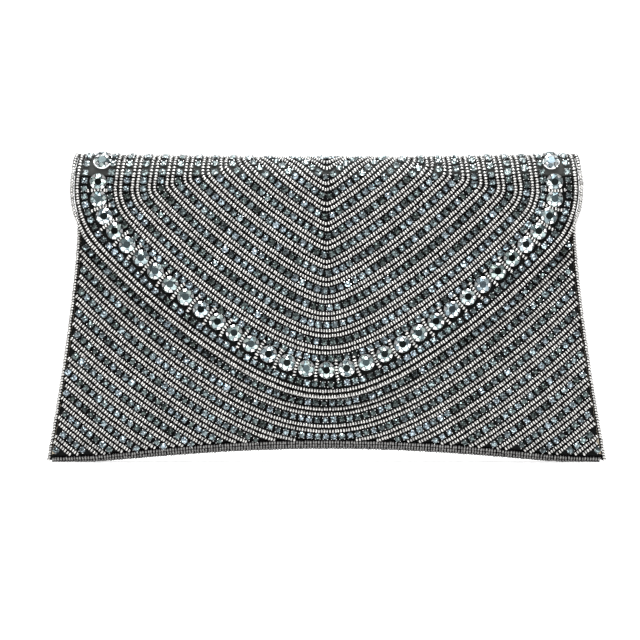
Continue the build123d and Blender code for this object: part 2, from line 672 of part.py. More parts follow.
def flap_parts():
    """Everything that swings with the flap."""
    top = HEIGHT + OVERSHOOT
    legs = stud_legs(PRONG_CLEARANCE)
    body = flap_outline(EDGE_BEAD_HALF + LAYER_GAP, top)
    washer_depth = WASHER_THICKNESS + PRONG_CLEARANCE
    washer_room = along_y(
        WASHER_DIAMETER / 2 + PRONG_CLEARANCE, STUD_WASHER_Y - CUT_LEAD, CUT_LEAD + washer_depth
    )
    beads = flap_sheet(-BEAD, -LAYER_GAP)
    parts = {}
    parts["flap_fabric"] = flap_sheet(0.0, FABRIC_IN) & body
    parts["flap_board"] = (flap_sheet(BOARD_OUT, BOARD_IN) & body) - washer_room - legs
    parts["flap_lining"] = (flap_sheet(LINING_OUT, LINING_IN) & body) - legs
    edge = flap_outline(-EDGE_BEAD_HALF, top) - flap_outline(EDGE_BEAD_HALF, top + CUT_LEAD)
    parts["flap_edge_beads"] = flap_sheet(-EDGE_BEAD_PROUD, LINING_IN) & edge
    band = flap_outline(EDGE_BEAD_HALF + LAYER_GAP, top) - flap_outline(EDGE_BAND, top + CUT_LEAD)
    parts["flap_edge_beadwork"] = beads & band
    parts["flap_field_beadwork"] = beads & flap_outline(FIELD_BORDER, top)
    parts["flap_stone_cups"] = copies(setting_solid(), stone_planes())
    parts["flap_stones"] = copies(stone_solid(), stone_planes())
    parts["flap_bead_arcs"] = copies(bead_arc(), arc_planes())
    parts["snap_stud"] = snap_stud()
    parts["stud_washer"] = washer(STUD_WASHER_Y, stud_legs(PRONG_CLEARANCE / 2))
    return parts


def main():
    """Write one STEP file for each piece."""
    groups = {**pouch_parts(), **fold_parts(), **flap_parts()}
    for name, shape in groups.items():
        export_step(Pos(0, MID_SHIFT, 0) * shape, f"parts/{name}.step")
    hinge_in = FOLD_RADIUS * (1 - math.pi / 4)
    print("fold hinge at y", BACK_TOP_Y - hinge_in + MID_SHIFT, "z", GROUND_TOP - hinge_in)
    print("flap hinge at y", FLAP_TOP_Y + hinge_in + MID_SHIFT, "z", GROUND_TOP - hinge_in)
    print("front reach", -FRONT_REACH + MID_SHIFT, "back reach", BACK_REACH + MID_SHIFT)


main()
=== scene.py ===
"""Looks of a beaded envelope clutch: cloth, seed beads, crystals, claw-set stones and a small studio.

Every surface point is worked out in a flat chart (x across, v along the cloth) and then lifted off the
purse's ground, which is the outer face of the cloth that the beads are sewn to. Lengths are metres.
"""

import logging
import math
from collections.abc import Callable
from dataclasses import dataclass
from enum import Enum

import bpy
import numpy as np
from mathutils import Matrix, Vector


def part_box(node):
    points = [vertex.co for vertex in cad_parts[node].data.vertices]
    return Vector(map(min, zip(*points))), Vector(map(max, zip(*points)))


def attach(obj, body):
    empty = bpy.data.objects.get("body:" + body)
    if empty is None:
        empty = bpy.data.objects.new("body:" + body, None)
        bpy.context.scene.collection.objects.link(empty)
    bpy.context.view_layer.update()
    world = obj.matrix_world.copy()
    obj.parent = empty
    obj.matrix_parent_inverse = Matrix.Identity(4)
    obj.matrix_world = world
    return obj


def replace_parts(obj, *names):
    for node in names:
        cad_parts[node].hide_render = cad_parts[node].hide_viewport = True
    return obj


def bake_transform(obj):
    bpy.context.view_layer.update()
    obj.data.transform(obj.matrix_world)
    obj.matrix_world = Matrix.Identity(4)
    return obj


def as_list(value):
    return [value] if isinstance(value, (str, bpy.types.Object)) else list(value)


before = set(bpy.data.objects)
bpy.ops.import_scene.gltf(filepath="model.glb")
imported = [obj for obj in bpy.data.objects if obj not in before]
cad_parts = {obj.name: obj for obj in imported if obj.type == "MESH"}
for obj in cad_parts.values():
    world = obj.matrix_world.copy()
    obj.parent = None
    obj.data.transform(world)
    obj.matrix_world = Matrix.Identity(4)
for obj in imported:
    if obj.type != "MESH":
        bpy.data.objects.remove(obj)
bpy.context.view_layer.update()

MM = 0.001
LOG = logging.getLogger("clutch")
WHITE = (1.0, 1.0, 1.0)
FEWEST_POINTS = 8  # a line with fewer points is no row
FEWEST_PLACES = 3

Socket = bpy.types.NodeSocket
Triple = tuple[float, float, float]
Surface = Callable[[np.ndarray, np.ndarray, np.ndarray], np.ndarray]


class Side(Enum):
    """The two halves of the pouch, with the direction in y that each one faces."""

    FRONT = -1
    BACK = 1


class Row(Enum):
    """What is sewn along one row."""

    SILVER = "silver"
    CRYSTAL = "crystal"


# ------------------------------------------------------------------------------------ shape
@dataclass(frozen=True)
class PurseShape:
    """The purse's ground surfaces as formulas, the same ones that the solids were drawn with."""

    foot_half: float
    fold_base: float
    tip_v: float
    mid_shift: float
    top_half: float = 116.4 * MM
    flare_height: float = 110.0 * MM
    flare_power: float = 1.4
    bottom_rise: float = 6.0 * MM
    foot_start: float = 112.0 * MM
    foot_trim: float = 0.25 * MM
    belly_height: float = 51.1 * MM
    seam_half: float = 5.0 * MM
    front_swell: float = 7.0 * MM
    back_swell: float = 9.5 * MM
    mouth_swell: float = 2.0 * MM
    low_swell_loss: float = 0.15
    pillow_power: float = 3.0
    seam_shift: float = 3.0 * MM
    bottom_radius: float = 9.0 * MM
    corner_radius: float = 0.8 * MM
    bead: float = 2.1 * MM
    flap_stack: float = 5.9 * MM
    fold_radius: float = 7.5 * MM
    fold_sag: float = 1.5 * MM

    @classmethod
    def from_frame(cls) -> "PurseShape":
        """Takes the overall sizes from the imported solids.

        Returns:
            The shape, in the row frame.
        """
        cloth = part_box("back_fabric")
        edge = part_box("flap_edge_beads")
        drawn = cls.seam_half + cls.back_swell + cls.bead
        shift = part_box("back_beadwork")[1].y - drawn
        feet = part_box("right_seam_beads")[1].x - cls.bead
        return cls(feet, cloth[1].z, edge[0].z + SeedBead.diameter / 2, shift)

    @property
    def back_top_y(self) -> float:
        """Ground of the back at the fold."""
        return self.seam_shift + self.seam_half

    @property
    def flap_top_y(self) -> float:
        """Ground of the flap at the fold."""
        return self.seam_shift - self.seam_half - self.mouth_swell - self.flap_stack

    @property
    def crest_flat(self) -> float:
        """Width of the flat strip between the two round edges of the fold."""
        return self.back_top_y - self.flap_top_y - 2 * self.fold_radius

    def half_width(self, z: np.ndarray) -> np.ndarray:
        """Half width of the ground: straight above, flaring out by a power of the depth below.

        Args:
            z: Heights.

        Returns:
            Half widths.
        """
        rise = np.maximum(0.0, 1.0 - np.maximum(z, 0.0) / self.flare_height)
        return self.top_half + (self.foot_half - self.top_half) * rise**self.flare_power

    def fullness(self, x: np.ndarray, z: np.ndarray) -> np.ndarray:
        """1 on the middle line and 0 at the seam: one minus a power of the share of the half width."""
        return np.clip(1.0 - (np.abs(x) / self.half_width(z)) ** self.pillow_power, -0.05, 1.0)

    def belly(self, z: np.ndarray) -> np.ndarray:
        """Swell with height: a squared cosine above the fullest height, a shallow parabola below."""
        share = np.clip((z - self.belly_height) / (self.fold_base - self.belly_height), 0.0, 1.0)
        below = np.maximum(0.0, self.belly_height - z) / self.belly_height
        return np.cos(np.pi / 2 * share) ** 2 - self.low_swell_loss * below**2

    def bottom(self, x: np.ndarray) -> np.ndarray:
        """Underside of the beads: raised in the middle, flat at both corners."""
        inside = np.maximum(0.0, 1.0 - (x / self.foot_start) ** 2)
        return self.bottom_rise * inside**1.3 - self.foot_trim

    def roll(self, x: np.ndarray) -> np.ndarray:
        """Radius of the ground's roll under the bottom edge."""
        full = np.maximum(0.0, self.fullness(x, np.zeros_like(x)))
        return self.corner_radius + (self.bottom_radius - self.corner_radius) * full

    def wall_y(self, side: Side, x: np.ndarray, z: np.ndarray) -> np.ndarray:
        """Ground of the front or back shell at a height."""
        b = self.belly(z)
        shift = self.seam_shift * (1 - b)
        if side is Side.FRONT:
            swell = self.mouth_swell * (1 - b) + self.front_swell * b
            return shift - self.seam_half - swell * self.fullness(x, z)
        return shift + self.seam_half + self.back_swell * b * self.fullness(x, z)

    def shell_point(self, side: Side, x: np.ndarray, v: np.ndarray, lift: np.ndarray) -> np.ndarray:
        """Point of a shell: straight up the wall, and below it a quarter turn, then flat to the seam.

        Args:
            side: Front or back.
            x: Places across.
            v: Height on the wall; below the wall it goes on as length along the beads' middle.
            lift: Distance off the ground, outwards.

        Returns:
            Points, one row each.
        """
        radius = self.roll(x)
        corner = self.bottom(x) + self.bead + radius
        path = radius + self.bead / 2
        along = np.maximum(0.0, corner - v)
        turn = np.minimum(along / path, np.pi / 2)
        flat = np.maximum(0.0, along - path * np.pi / 2)
        z_wall = np.maximum(v, corner)
        centre = self.wall_y(side, x, corner) - side.value * radius
        y_wall = self.wall_y(side, x, z_wall) + side.value * lift
        reach = radius + lift
        y_roll = centre + side.value * (reach * np.cos(turn) - flat)
        rolled = along > 0
        y = np.where(rolled, y_roll, y_wall)
        z = np.where(rolled, corner - reach * np.sin(turn), z_wall)
        return np.stack([x + 0 * y, y + self.mid_shift, z], axis=-1)

    def roll_v(self, x: np.ndarray) -> np.ndarray:
        """Chart place of the row along the bottom edge, halfway round the roll."""
        radius = self.roll(x)
        return self.bottom(x) + self.bead + radius - (radius + self.bead / 2) * np.pi / 4

    def seam_v(self, side: Side, x: np.ndarray) -> np.ndarray:
        """Chart place of the bottom seam."""
        radius = self.roll(x)
        corner = self.bottom(x) + self.bead + radius
        centre = self.wall_y(side, x, corner) - side.value * radius
        return corner - (radius + self.bead / 2) * np.pi / 2 - np.abs(centre)

    def fold_top(self, x: np.ndarray) -> np.ndarray:
        """Ground of the fold's crest, a parabola that sags in the middle."""
        return self.fold_base + self.fold_radius + self.fold_sag * np.minimum(1.0, (x / self.top_half) ** 2)

    def fold_length(self, x: np.ndarray) -> np.ndarray:
        """Length of the ground over the fold, from the flap's top edge to the back's."""
        lead = self.fold_top(x) - self.fold_radius - self.fold_base
        return 2 * lead + np.pi * self.fold_radius + self.crest_flat

    def flap_y(self, x: np.ndarray, z: np.ndarray) -> np.ndarray:
        """Ground of the flap: straight along the fold, one stack off the front at the belly."""
        b = self.belly(z)
        full = self.seam_half + self.front_swell * self.fullness(x, z) + self.flap_stack
        return self.flap_top_y * (1 - b) - full * b

    def flap_point(self, x: np.ndarray, v: np.ndarray, lift: np.ndarray) -> np.ndarray:
        """Point of the flap, and past its top edge of the fold and the back's top.

        The fold is a short straight, a quarter turn, a flat crest, a quarter turn and a straight down.

        Args:
            x: Places across.
            v: Height on the flap; past the fold's base it goes on as length along the ground.
            lift: Distance off the ground, outwards.

        Returns:
            Points, one row each.
        """
        radius = self.fold_radius
        lead = self.fold_top(x) - radius - self.fold_base
        rest = v - self.fold_base - lead
        quarter = radius * np.pi / 2
        first = np.clip(rest, 0.0, quarter) / radius
        crest = np.clip(rest - quarter, 0.0, self.crest_flat)
        second = np.clip(rest - quarter - self.crest_flat, 0.0, quarter) / radius
        down = np.maximum(0.0, rest - 2 * quarter - self.crest_flat)
        reach = radius + lift
        turned = first + second
        front_y = self.flap_top_y + radius
        centre_z = self.fold_top(x) - radius
        y = front_y + crest - reach * np.cos(turned)
        z = centre_z + reach * np.sin(turned) - down
        flat = rest <= 0
        y = np.where(flat, self.flap_y(x, np.minimum(v, self.fold_base)) - lift, y)
        z = np.where(flat, v, z)
        return np.stack([x + 0 * y, y + self.mid_shift, z], axis=-1)

    def back_from_fold(self, x: np.ndarray, v: np.ndarray) -> tuple[np.ndarray, np.ndarray]:
        """Carries a row down the back, spreading with the sides.

        Args:
            x: Places across, at the fold.
            v: Chart places past the fold.

        Returns:
            Places across and heights on the back shell.
        """
        z = 2 * self.fold_base + self.fold_length(x) - v
        return x * self.half_width(z) / self.top_half, z


@dataclass(frozen=True)
class FlapEdge:
    """The flap's edge row in the chart: four arcs from the tip to the shoulder, then a leaning side."""

    shape: PurseShape
    radii: tuple[float, float, float, float] = (60.0 * MM, 130.0 * MM, 330.0 * MM, 41.7 * MM)
    headings: tuple[float, float, float, float] = (22.0, 32.0, 47.0, 99.0)
    reach: float = 120.4 * MM
    upright_after: float = 16.0 * MM
    end_v: float = 330.0 * MM
    step: float = 0.4 * MM
    kink_play: float = 0.25 * MM
    kink_stride: int = 3

    def right_half(self) -> tuple[np.ndarray, np.ndarray]:
        """Points and inward normals of the right half, arc after arc, by their turning angle.

        Returns:
            Points (n, 2) and unit normals (n, 2).
        """
        angles, points, start, begin = [], [], np.array([0.0, self.shape.tip_v]), 0.0
        sines = np.sin(np.radians((0.0,) + self.headings[:3] + (90.0,)))
        fixed = sum(r * (sines[i + 1] - sines[i]) for i, r in enumerate(self.radii) if i != 2)
        radii = list(self.radii)
        radii[2] = (self.reach - fixed) / (sines[3] - sines[2])
        for radius, heading in zip(radii, self.headings):
            a = np.radians(np.arange(begin, heading, np.degrees(self.step / radius)))
            x = start[0] + radius * (np.sin(a) - math.sin(math.radians(begin)))
            v = start[1] + radius * (math.cos(math.radians(begin)) - np.cos(a))
            end = math.radians(heading)
            first = math.radians(begin)
            turned = np.array([math.sin(end) - math.sin(first), math.cos(first) - math.cos(end)])
            start = start + radius * turned
            points.append(np.stack([x, v], axis=1))
            angles.append(a)
            begin = heading
        for heading, length in ((begin, self.upright_after), (90.0, self.end_v - start[1])):
            run = np.arange(0.0, length, self.step)[:, None]
            way = np.array([math.cos(math.radians(heading)), math.sin(math.radians(heading))])
            points.append(start + run * way)
            angles.append(np.full(len(run), math.radians(heading)))
            start = start + length * way
        a = np.concatenate(angles)
        return np.concatenate(points), np.stack([-np.sin(a), np.cos(a)], axis=1)

    def line(self, inset: float, smooth: float = 1.8 * MM) -> np.ndarray:
        """Line at a constant distance from the edge, its kinks rounded by a running average.

        Points nearer to the edge than the distance are past a kink and are dropped.

        Args:
            inset: Distance inside the edge; negative is outside.
            smooth: Length of the running average.

        Returns:
            Points (n, 2) from the left end to the right end.
        """
        base, normal = self.right_half()
        moved = base + normal * inset
        keep = moved[:, 0] >= 0
        if inset > 0:
            away = moved[:, None] - base[None, :: self.kink_stride]
            gap = np.min(np.hypot(away[..., 0], away[..., 1]), axis=1)
            keep &= gap > inset - self.kink_play
        moved = moved[keep]
        if len(moved) < FEWEST_POINTS:
            return moved
        whole = np.concatenate([(moved * [-1, 1])[::-1], moved])
        whole = evenly(whole, self.step)
        if inset > 0:
            whole = running_average(whole, smooth / self.step)
        return whole


def evenly(points: np.ndarray, step: float) -> np.ndarray:
    """The same line with points an equal step apart, by interpolation along its length.

    Args:
        points: Line points.
        step: Distance between the new points.

    Returns:
        The new points.
    """
    gaps = np.linalg.norm(np.diff(points, axis=0), axis=1)
    length = np.concatenate([[0.0], np.cumsum(gaps)])
    places = np.arange(step / 2, length[-1], step)
    return np.stack([np.interp(places, length, points[:, k]) for k in range(points.shape[1])], axis=1)


def running_average(points: np.ndarray, spread: float) -> np.ndarray:
    """Bell-shaped running average along a line, with its ends held."""
    reach = int(3 * spread)
    bell = np.exp(-0.5 * (np.arange(-reach, reach + 1) / spread) ** 2)
    padded = np.concatenate([points[:1].repeat(reach, 0), points, points[-1:].repeat(reach, 0)])
    return np.stack([np.convolve(padded[:, k], bell / bell.sum(), "valid") for k in range(2)], axis=1)


def unit(a: np.ndarray) -> np.ndarray:
    """Rows scaled to length one."""
    return a / np.maximum(np.linalg.norm(a, axis=-1, keepdims=True), 1e-12)


def spread_stops(colours: tuple[Triple, ...]) -> list[tuple[float, Triple]]:
    """Stops of a colour ramp, one per colour, an equal step apart."""
    return [(i / (len(colours) - 1), c) for i, c in enumerate(colours)]


# ------------------------------------------------------------------------------------ meshes
@dataclass
class Form:
    """A small closed shape: points, faces as lists of point numbers, a painted-light share per point and a
    painted reflection brightness per face.
    """

    points: np.ndarray
    faces: list[list[int]]
    painted_light: np.ndarray | None = None
    # cut: painted reflection brightness of each face, spread at random by the play below
    cut: np.ndarray | None = None
    glint_play: float = 0.6

    def joined(self, other: "Form") -> "Form":
        """This form and another as one."""
        shift = len(self.points)
        moved = [[i + shift for i in f] for f in other.faces]
        return Form(np.concatenate([self.points, other.points]), self.faces + moved)

    def painted_lights(self) -> np.ndarray:
        """Painted-light share of each point: its own, or else its height within the form, brighter higher.
        """
        if self.painted_light is not None:
            return self.painted_light
        low, high = self.points[:, 2].min(), self.points[:, 2].max()
        return (self.points[:, 2] - low) / (high - low)


def turned_form(radii: list[float], heights: list[float], sides: int, twist: float = 0.0) -> Form:
    """Form turned about z: rings of equal sides, closed by a flat cap at each end.

    Args:
        radii: Radius of each ring, lowest first.
        heights: Height of each ring.
        sides: Sides of every ring.
        twist: Turn of the rings, in radians.

    Returns:
        The form, with its faces pointing outwards.
    """
    a = 2 * np.pi * np.arange(sides) / sides + twist
    rings = [np.stack([r * np.cos(a), r * np.sin(a), np.full(sides, h)], 1) for r, h in zip(radii, heights)]
    faces = [list(range(sides))[::-1]]
    for k in range(len(radii) - 1):
        for i in range(sides):
            j = (i + 1) % sides
            faces.append([k * sides + i, k * sides + j, (k + 1) * sides + j, (k + 1) * sides + i])
    faces.append([(len(radii) - 1) * sides + i for i in range(sides)])
    return Form(np.concatenate(rings), faces)


@dataclass
class Placement:
    """Where copies of a form stand: their middles, and their x and z directions."""

    origin: np.ndarray
    along: np.ndarray
    out: np.ndarray

    def picked(self, keep: np.ndarray) -> "Placement":
        """Only the places that keep names."""
        return Placement(self.origin[keep], self.along[keep], self.out[keep])

    def __len__(self) -> int:
        """Number of places."""
        return len(self.origin)


def joined_places(parts: list[Placement]) -> Placement:
    """Several sets of places as one."""
    return Placement(*(np.concatenate([getattr(p, k) for p in parts]) for k in ("origin", "along", "out")))


def mesh_object(
    name: str, points: np.ndarray, loops: np.ndarray, totals: np.ndarray, smooth: bool
) -> bpy.types.Object:
    """Makes an object from flat arrays.

    Args:
        name: Its name.
        points: Mesh points.
        loops: Point numbers of all faces, one after another.
        totals: Corners of each face.
        smooth: Whether the faces are shaded round.

    Returns:
        The object, linked to the scene.
    """
    mesh = bpy.data.meshes.new(name)
    mesh.vertices.add(len(points))
    mesh.vertices.foreach_set("co", np.ascontiguousarray(points, np.float32).ravel())
    mesh.loops.add(len(loops))
    mesh.loops.foreach_set("vertex_index", loops.astype(np.int32))
    mesh.polygons.add(len(totals))
    starts = np.concatenate([[0], np.cumsum(totals)[:-1]])
    mesh.polygons.foreach_set("loop_start", starts.astype(np.int32))
    mesh.polygons.foreach_set("loop_total", totals.astype(np.int32))
    mesh.polygons.foreach_set("use_smooth", np.full(len(totals), smooth))
    mesh.update(calc_edges=True)
    mesh.validate()
    made = bpy.data.objects.new(name, mesh)
    bpy.context.scene.collection.objects.link(made)
    return made


def add_values(made: bpy.types.Object, name: str, values: np.ndarray) -> None:
    """Stores one number per mesh point for a finish to read."""
    layer = made.data.attributes.new(name, "FLOAT", "POINT")
    layer.data.foreach_set("value", values.astype(np.float32).ravel())


def copies_object(
    name: str, form: Form, places: Placement, rng: np.random.Generator, wobble: "Wobble", smooth: bool = True
) -> bpy.types.Object:
    """One mesh of many copies of a form, each carried by its place's three directions.

    Args:
        name: Object name.
        form: The form that is copied.
        places: Where the copies stand.
        rng: Source of the small differences.
        wobble: How much the copies differ.
        smooth: Whether the faces are shaded round.

    Returns:
        The object, with a "luck" number per copy, a painted reflection brightness per face and the form's
        painted-light share per point.
    """
    count = len(places)
    out = unit(places.out + rng.normal(0, wobble.tilt, (count, 3)))
    along = unit(places.along + rng.normal(0, wobble.tilt, (count, 3)))
    across = unit(np.cross(out, along))
    along = np.cross(across, out)
    size = 1 + rng.normal(0, wobble.size, (count, 1, 1))
    shift = rng.normal(0, wobble.shift, (count, 3))
    local = form.points[None] * size
    points = local[..., :1] * along[:, None] + local[..., 1:2] * across[:, None]
    points = points + local[..., 2:] * out[:, None] + (places.origin + shift)[:, None]
    size_of = len(form.points)
    corners = np.concatenate([np.array(f) for f in form.faces])
    loops = (corners[None] + size_of * np.arange(count)[:, None]).ravel()
    totals = np.tile(np.array([len(f) for f in form.faces]), count)
    made = mesh_object(name, points.reshape(-1, 3), loops, totals, smooth)
    add_values(made, "luck", np.repeat(rng.random(count), size_of))
    add_values(made, "painted_light", np.tile(form.painted_lights(), count))
    # each face's painted reflection brightness: random, or the form's cut with a random spread
    facets = made.data.attributes.new("facet_glint", "FLOAT", "FACE")
    glint_share = rng.random(len(totals))
    if form.cut is not None:
        glint_share = np.clip(np.tile(form.cut, count) + form.glint_play * (glint_share - 0.5), 0.0, 1.0)
    facets.data.foreach_set("value", glint_share.astype(np.float32))
    return made


@dataclass(frozen=True)
class Wobble:
    """How far hand-sewn copies differ: tilt as a share, size as a share, shift in metres."""

    tilt: float = 0.07
    size: float = 0.035
    shift: float = 0.06 * MM


def sheet_object(name: str, outer: np.ndarray, inner: np.ndarray) -> bpy.types.Object:
    """Closed sheet between two grids of points that face each other.

    The outer grid's rows times columns give its face outwards, the inner grid's face inwards, and a
    strip of faces runs round the rim.

    Args:
        name: Object name.
        outer: Points (rows, columns, 3).
        inner: Points of the same grid on the other side.

    Returns:
        The object.
    """
    rows, columns = outer.shape[:2]
    number = np.arange(rows * columns).reshape(rows, columns)
    a, b, c, d = number[:-1, :-1], number[:-1, 1:], number[1:, 1:], number[1:, :-1]
    top = np.stack([a, b, c, d], -1).reshape(-1, 4)
    low = np.stack([a, d, c, b], -1).reshape(-1, 4) + rows * columns
    rim = np.concatenate([number[0, :], number[1:, -1], number[-1, -2::-1], number[-2:0:-1, 0]])
    following = np.roll(rim, -1)
    side = np.stack([following, rim, rim + rows * columns, following + rows * columns], -1)
    faces = np.concatenate([top, low, side])
    points = np.concatenate([outer.reshape(-1, 3), inner.reshape(-1, 3)])
    made = mesh_object(name, points, faces.ravel(), np.full(len(faces), 4), True)
    layer = made.data.uv_layers.new(name="cut")
    grid = np.stack(np.meshgrid(np.arange(columns), np.arange(rows)), -1).reshape(-1, 2)
    span = np.linalg.norm(outer[rows // 2, -1] - outer[rows // 2, 0]) / columns
    uv = np.concatenate([grid, grid])[faces.ravel()] * span
    layer.data.foreach_set("uv", uv.astype(np.float32).ravel())
    return made


# ------------------------------------------------------------------------------------ finishes
class Nodes:
    """Short hand for building one material's node tree."""

    def __init__(self, name: str) -> None:
        """Starts a material with a Principled shader."""
        self.material = bpy.data.materials.new(name)
        self.material.use_nodes = True
        self.tree = self.material.node_tree
        self.shader = self.tree.nodes["Principled BSDF"]

    def add(self, kind: str, **settings: object) -> bpy.types.Node:
        """Adds a node and sets its plain properties."""
        node = self.tree.nodes.new(kind)
        for key, value in settings.items():
            setattr(node, key, value)
        return node

    def link(self, source: Socket, target: Socket) -> None:
        """Joins two sockets."""
        self.tree.links.new(source, target)

    def set(self, **values: object) -> None:
        """Sets constant values on the shader's own sockets, by name with underscores for spaces."""
        for key, value in values.items():
            self.shader.inputs[key.replace("_", " ")].default_value = value

    def value(self, name: str) -> Socket:
        """A number stored on the mesh."""
        return self.add("ShaderNodeAttribute", attribute_name=name).outputs["Fac"]

    def ramp(self, source: Socket, stops: list[tuple[float, Triple]]) -> Socket:
        """Colours along a number, smooth between stops."""
        node = self.add("ShaderNodeValToRGB")
        node.color_ramp.elements[0].position = stops[0][0]
        node.color_ramp.elements[0].color = (*stops[0][1], 1)
        node.color_ramp.elements[1].position = stops[-1][0]
        node.color_ramp.elements[1].color = (*stops[-1][1], 1)
        for place, colour in stops[1:-1]:
            node.color_ramp.elements.new(place).color = (*colour, 1)
        self.link(source, node.inputs["Fac"])
        return node.outputs["Color"]

    def mix(self, share: object, first: object, second: object, blend: str = "MIX") -> Socket:
        """Mixes two colours; each argument is a socket or a constant."""
        node = self.add("ShaderNodeMix", data_type="RGBA", blend_type=blend)
        for socket, given in ((node.inputs[0], share), (node.inputs[6], first), (node.inputs[7], second)):
            if isinstance(given, Socket):
                self.link(given, socket)
            else:
                socket.default_value = given if isinstance(given, float) else (*given, 1)
        return node.outputs[2]

    def noise(self, scale: float, detail: float = 3.0) -> Socket:
        """Cloudy noise in object space."""
        place = self.add("ShaderNodeTexCoord")
        node = self.add("ShaderNodeTexNoise")
        node.inputs["Scale"].default_value = scale
        node.inputs["Detail"].default_value = detail
        self.link(place.outputs["Object"], node.inputs["Vector"])
        return node.outputs["Fac"]

    def bump(self, height: Socket, strength: float, distance: float) -> None:
        """Sets the shader's normal from a height."""
        node = self.add("ShaderNodeBump")
        node.inputs["Strength"].default_value = strength
        node.inputs["Distance"].default_value = distance
        self.link(height, node.inputs["Height"])
        self.link(node.outputs["Normal"], self.shader.inputs["Normal"])


@dataclass(frozen=True)
class SilverBeadFinish:
    """Silver-lined glass beads with painted light: a painted highlight on top, painted shade down the sides
    and at the ends where cloth and neighbours close in.
    """

    name: str = "silver_lined_beads"
    highlight_colour: Triple = (0.62, 0.61, 0.59)
    half_shade_colour: Triple = (0.16, 0.158, 0.152)
    shade_colour: Triple = (0.012, 0.012, 0.012)

    def make(self) -> bpy.types.Material:
        """Builds the material; a ramp on each point's painted-light share paints shade and highlight into
        the colour.
        """
        n = Nodes(self.name)
        # rise: painted shade to painted highlight
        rise = n.ramp(n.value("painted_light"), [(0.35, self.shade_colour), (0.62, self.half_shade_colour), (0.9, self.highlight_colour)])
        luck = n.ramp(n.value("luck"), [(0.0, (0.6, 0.6, 0.61)), (0.5, (0.9, 0.9, 0.9)), (1.0, WHITE)])
        n.link(n.mix(1.0, rise, luck, "MULTIPLY"), n.shader.inputs["Base Color"])
        n.set(Metallic=0.8, Roughness=0.26, Specular_Tint=(0.35, 0.35, 0.35, 1))
        n.bump(n.noise(2600.0), 0.12, 0.00008)
        return n.material


@dataclass(frozen=True)
class SmokyStoneFinish:
    """Foil-backed cut glass, each stone from a small family of smoky greys and blues, with painted
    reflections on its facets.
    """

    name: str
    colours: tuple[Triple, ...]
    glints: tuple[Triple, ...]

    def make(self) -> bpy.types.Material:
        """Builds the material: the stone's own colour times a painted reflection brightness per facet."""
        n = Nodes(self.name)
        body = n.ramp(n.value("luck"), spread_stops(self.colours))
        # painted reflections: each facet made dark or bright, some above white
        facet_glint = n.ramp(n.value("facet_glint"), spread_stops(self.glints))
        cloud = n.ramp(n.noise(900.0, 2.0), [(0.35, (0.6, 0.6, 0.62)), (0.7, WHITE)])
        cut = n.mix(1.0, body, facet_glint, "MULTIPLY")
        n.link(n.mix(0.8, cut, cloud, "MULTIPLY"), n.shader.inputs["Base Color"])
        n.set(Metallic=0.85, Roughness=0.14, Coat_Weight=0.12, Coat_Roughness=0.03, Specular_IOR_Level=0.3)
        return n.material


@dataclass(frozen=True)
class PlatedFinish:
    """Plated metal with fine handling marks."""

    name: str
    colour: Triple
    roughness: float
    grain: float = 900.0

    def make(self) -> bpy.types.Material:
        """Builds the material."""
        n = Nodes(self.name)
        low = tuple(0.72 * c for c in self.colour)
        worn = n.ramp(n.noise(self.grain), [(0.3, low), (0.65, self.colour)])
        n.link(worn, n.shader.inputs["Base Color"])
        n.set(Metallic=1.0, Roughness=self.roughness)
        n.bump(n.noise(self.grain * 3, 5.0), 0.08, 0.00005)
        return n.material


@dataclass(frozen=True)
class ClothFinish:
    """Satin: fine crossed threads, a soft sheen and slow colour drift."""

    name: str
    colour: Triple
    thread: float = 0.28 * MM
    sheen: float = 0.35
    gloss: float = 0.4

    def make(self) -> bpy.types.Material:
        """Builds the material; two crossed bands read from the cut's own map are the weave."""
        n = Nodes(self.name)
        uv = n.add("ShaderNodeUVMap", uv_map="cut")
        heights = []
        for direction in ("X", "Y"):
            band = n.add("ShaderNodeTexWave", wave_type="BANDS", bands_direction=direction)
            band.inputs["Scale"].default_value = 0.314 / self.thread
            band.inputs["Distortion"].default_value = 0.6
            n.link(uv.outputs["UV"], band.inputs["Vector"])
            heights.append(band.outputs["Fac"])
        weave = n.mix(0.5, heights[0], heights[1])
        light = tuple(min(1.0, 1.45 * c) for c in self.colour)
        drift = n.ramp(n.noise(38.0), [(0.3, self.colour), (0.75, light)])
        shade = n.ramp(weave, [(0.1, (0.7, 0.7, 0.7)), (0.8, WHITE)])
        n.link(n.mix(1.0, drift, shade, "MULTIPLY"), n.shader.inputs["Base Color"])
        n.set(Roughness=0.5, Sheen_Weight=self.sheen, Sheen_Roughness=0.4, Specular_IOR_Level=self.gloss)
        n.bump(weave, 0.35, 0.00008)
        return n.material


@dataclass(frozen=True)
class CardFinish:
    """Stiffener board: matt fibres pressed flat."""

    name: str
    colour: Triple

    def make(self) -> bpy.types.Material:
        """Builds the material."""
        n = Nodes(self.name)
        light = tuple(min(1.0, 1.25 * c) for c in self.colour)
        fibres = n.ramp(n.noise(650.0, 6.0), [(0.35, self.colour), (0.7, light)])
        n.link(fibres, n.shader.inputs["Base Color"])
        n.set(Roughness=0.85)
        n.bump(n.noise(1500.0, 4.0), 0.2, 0.0001)
        return n.material


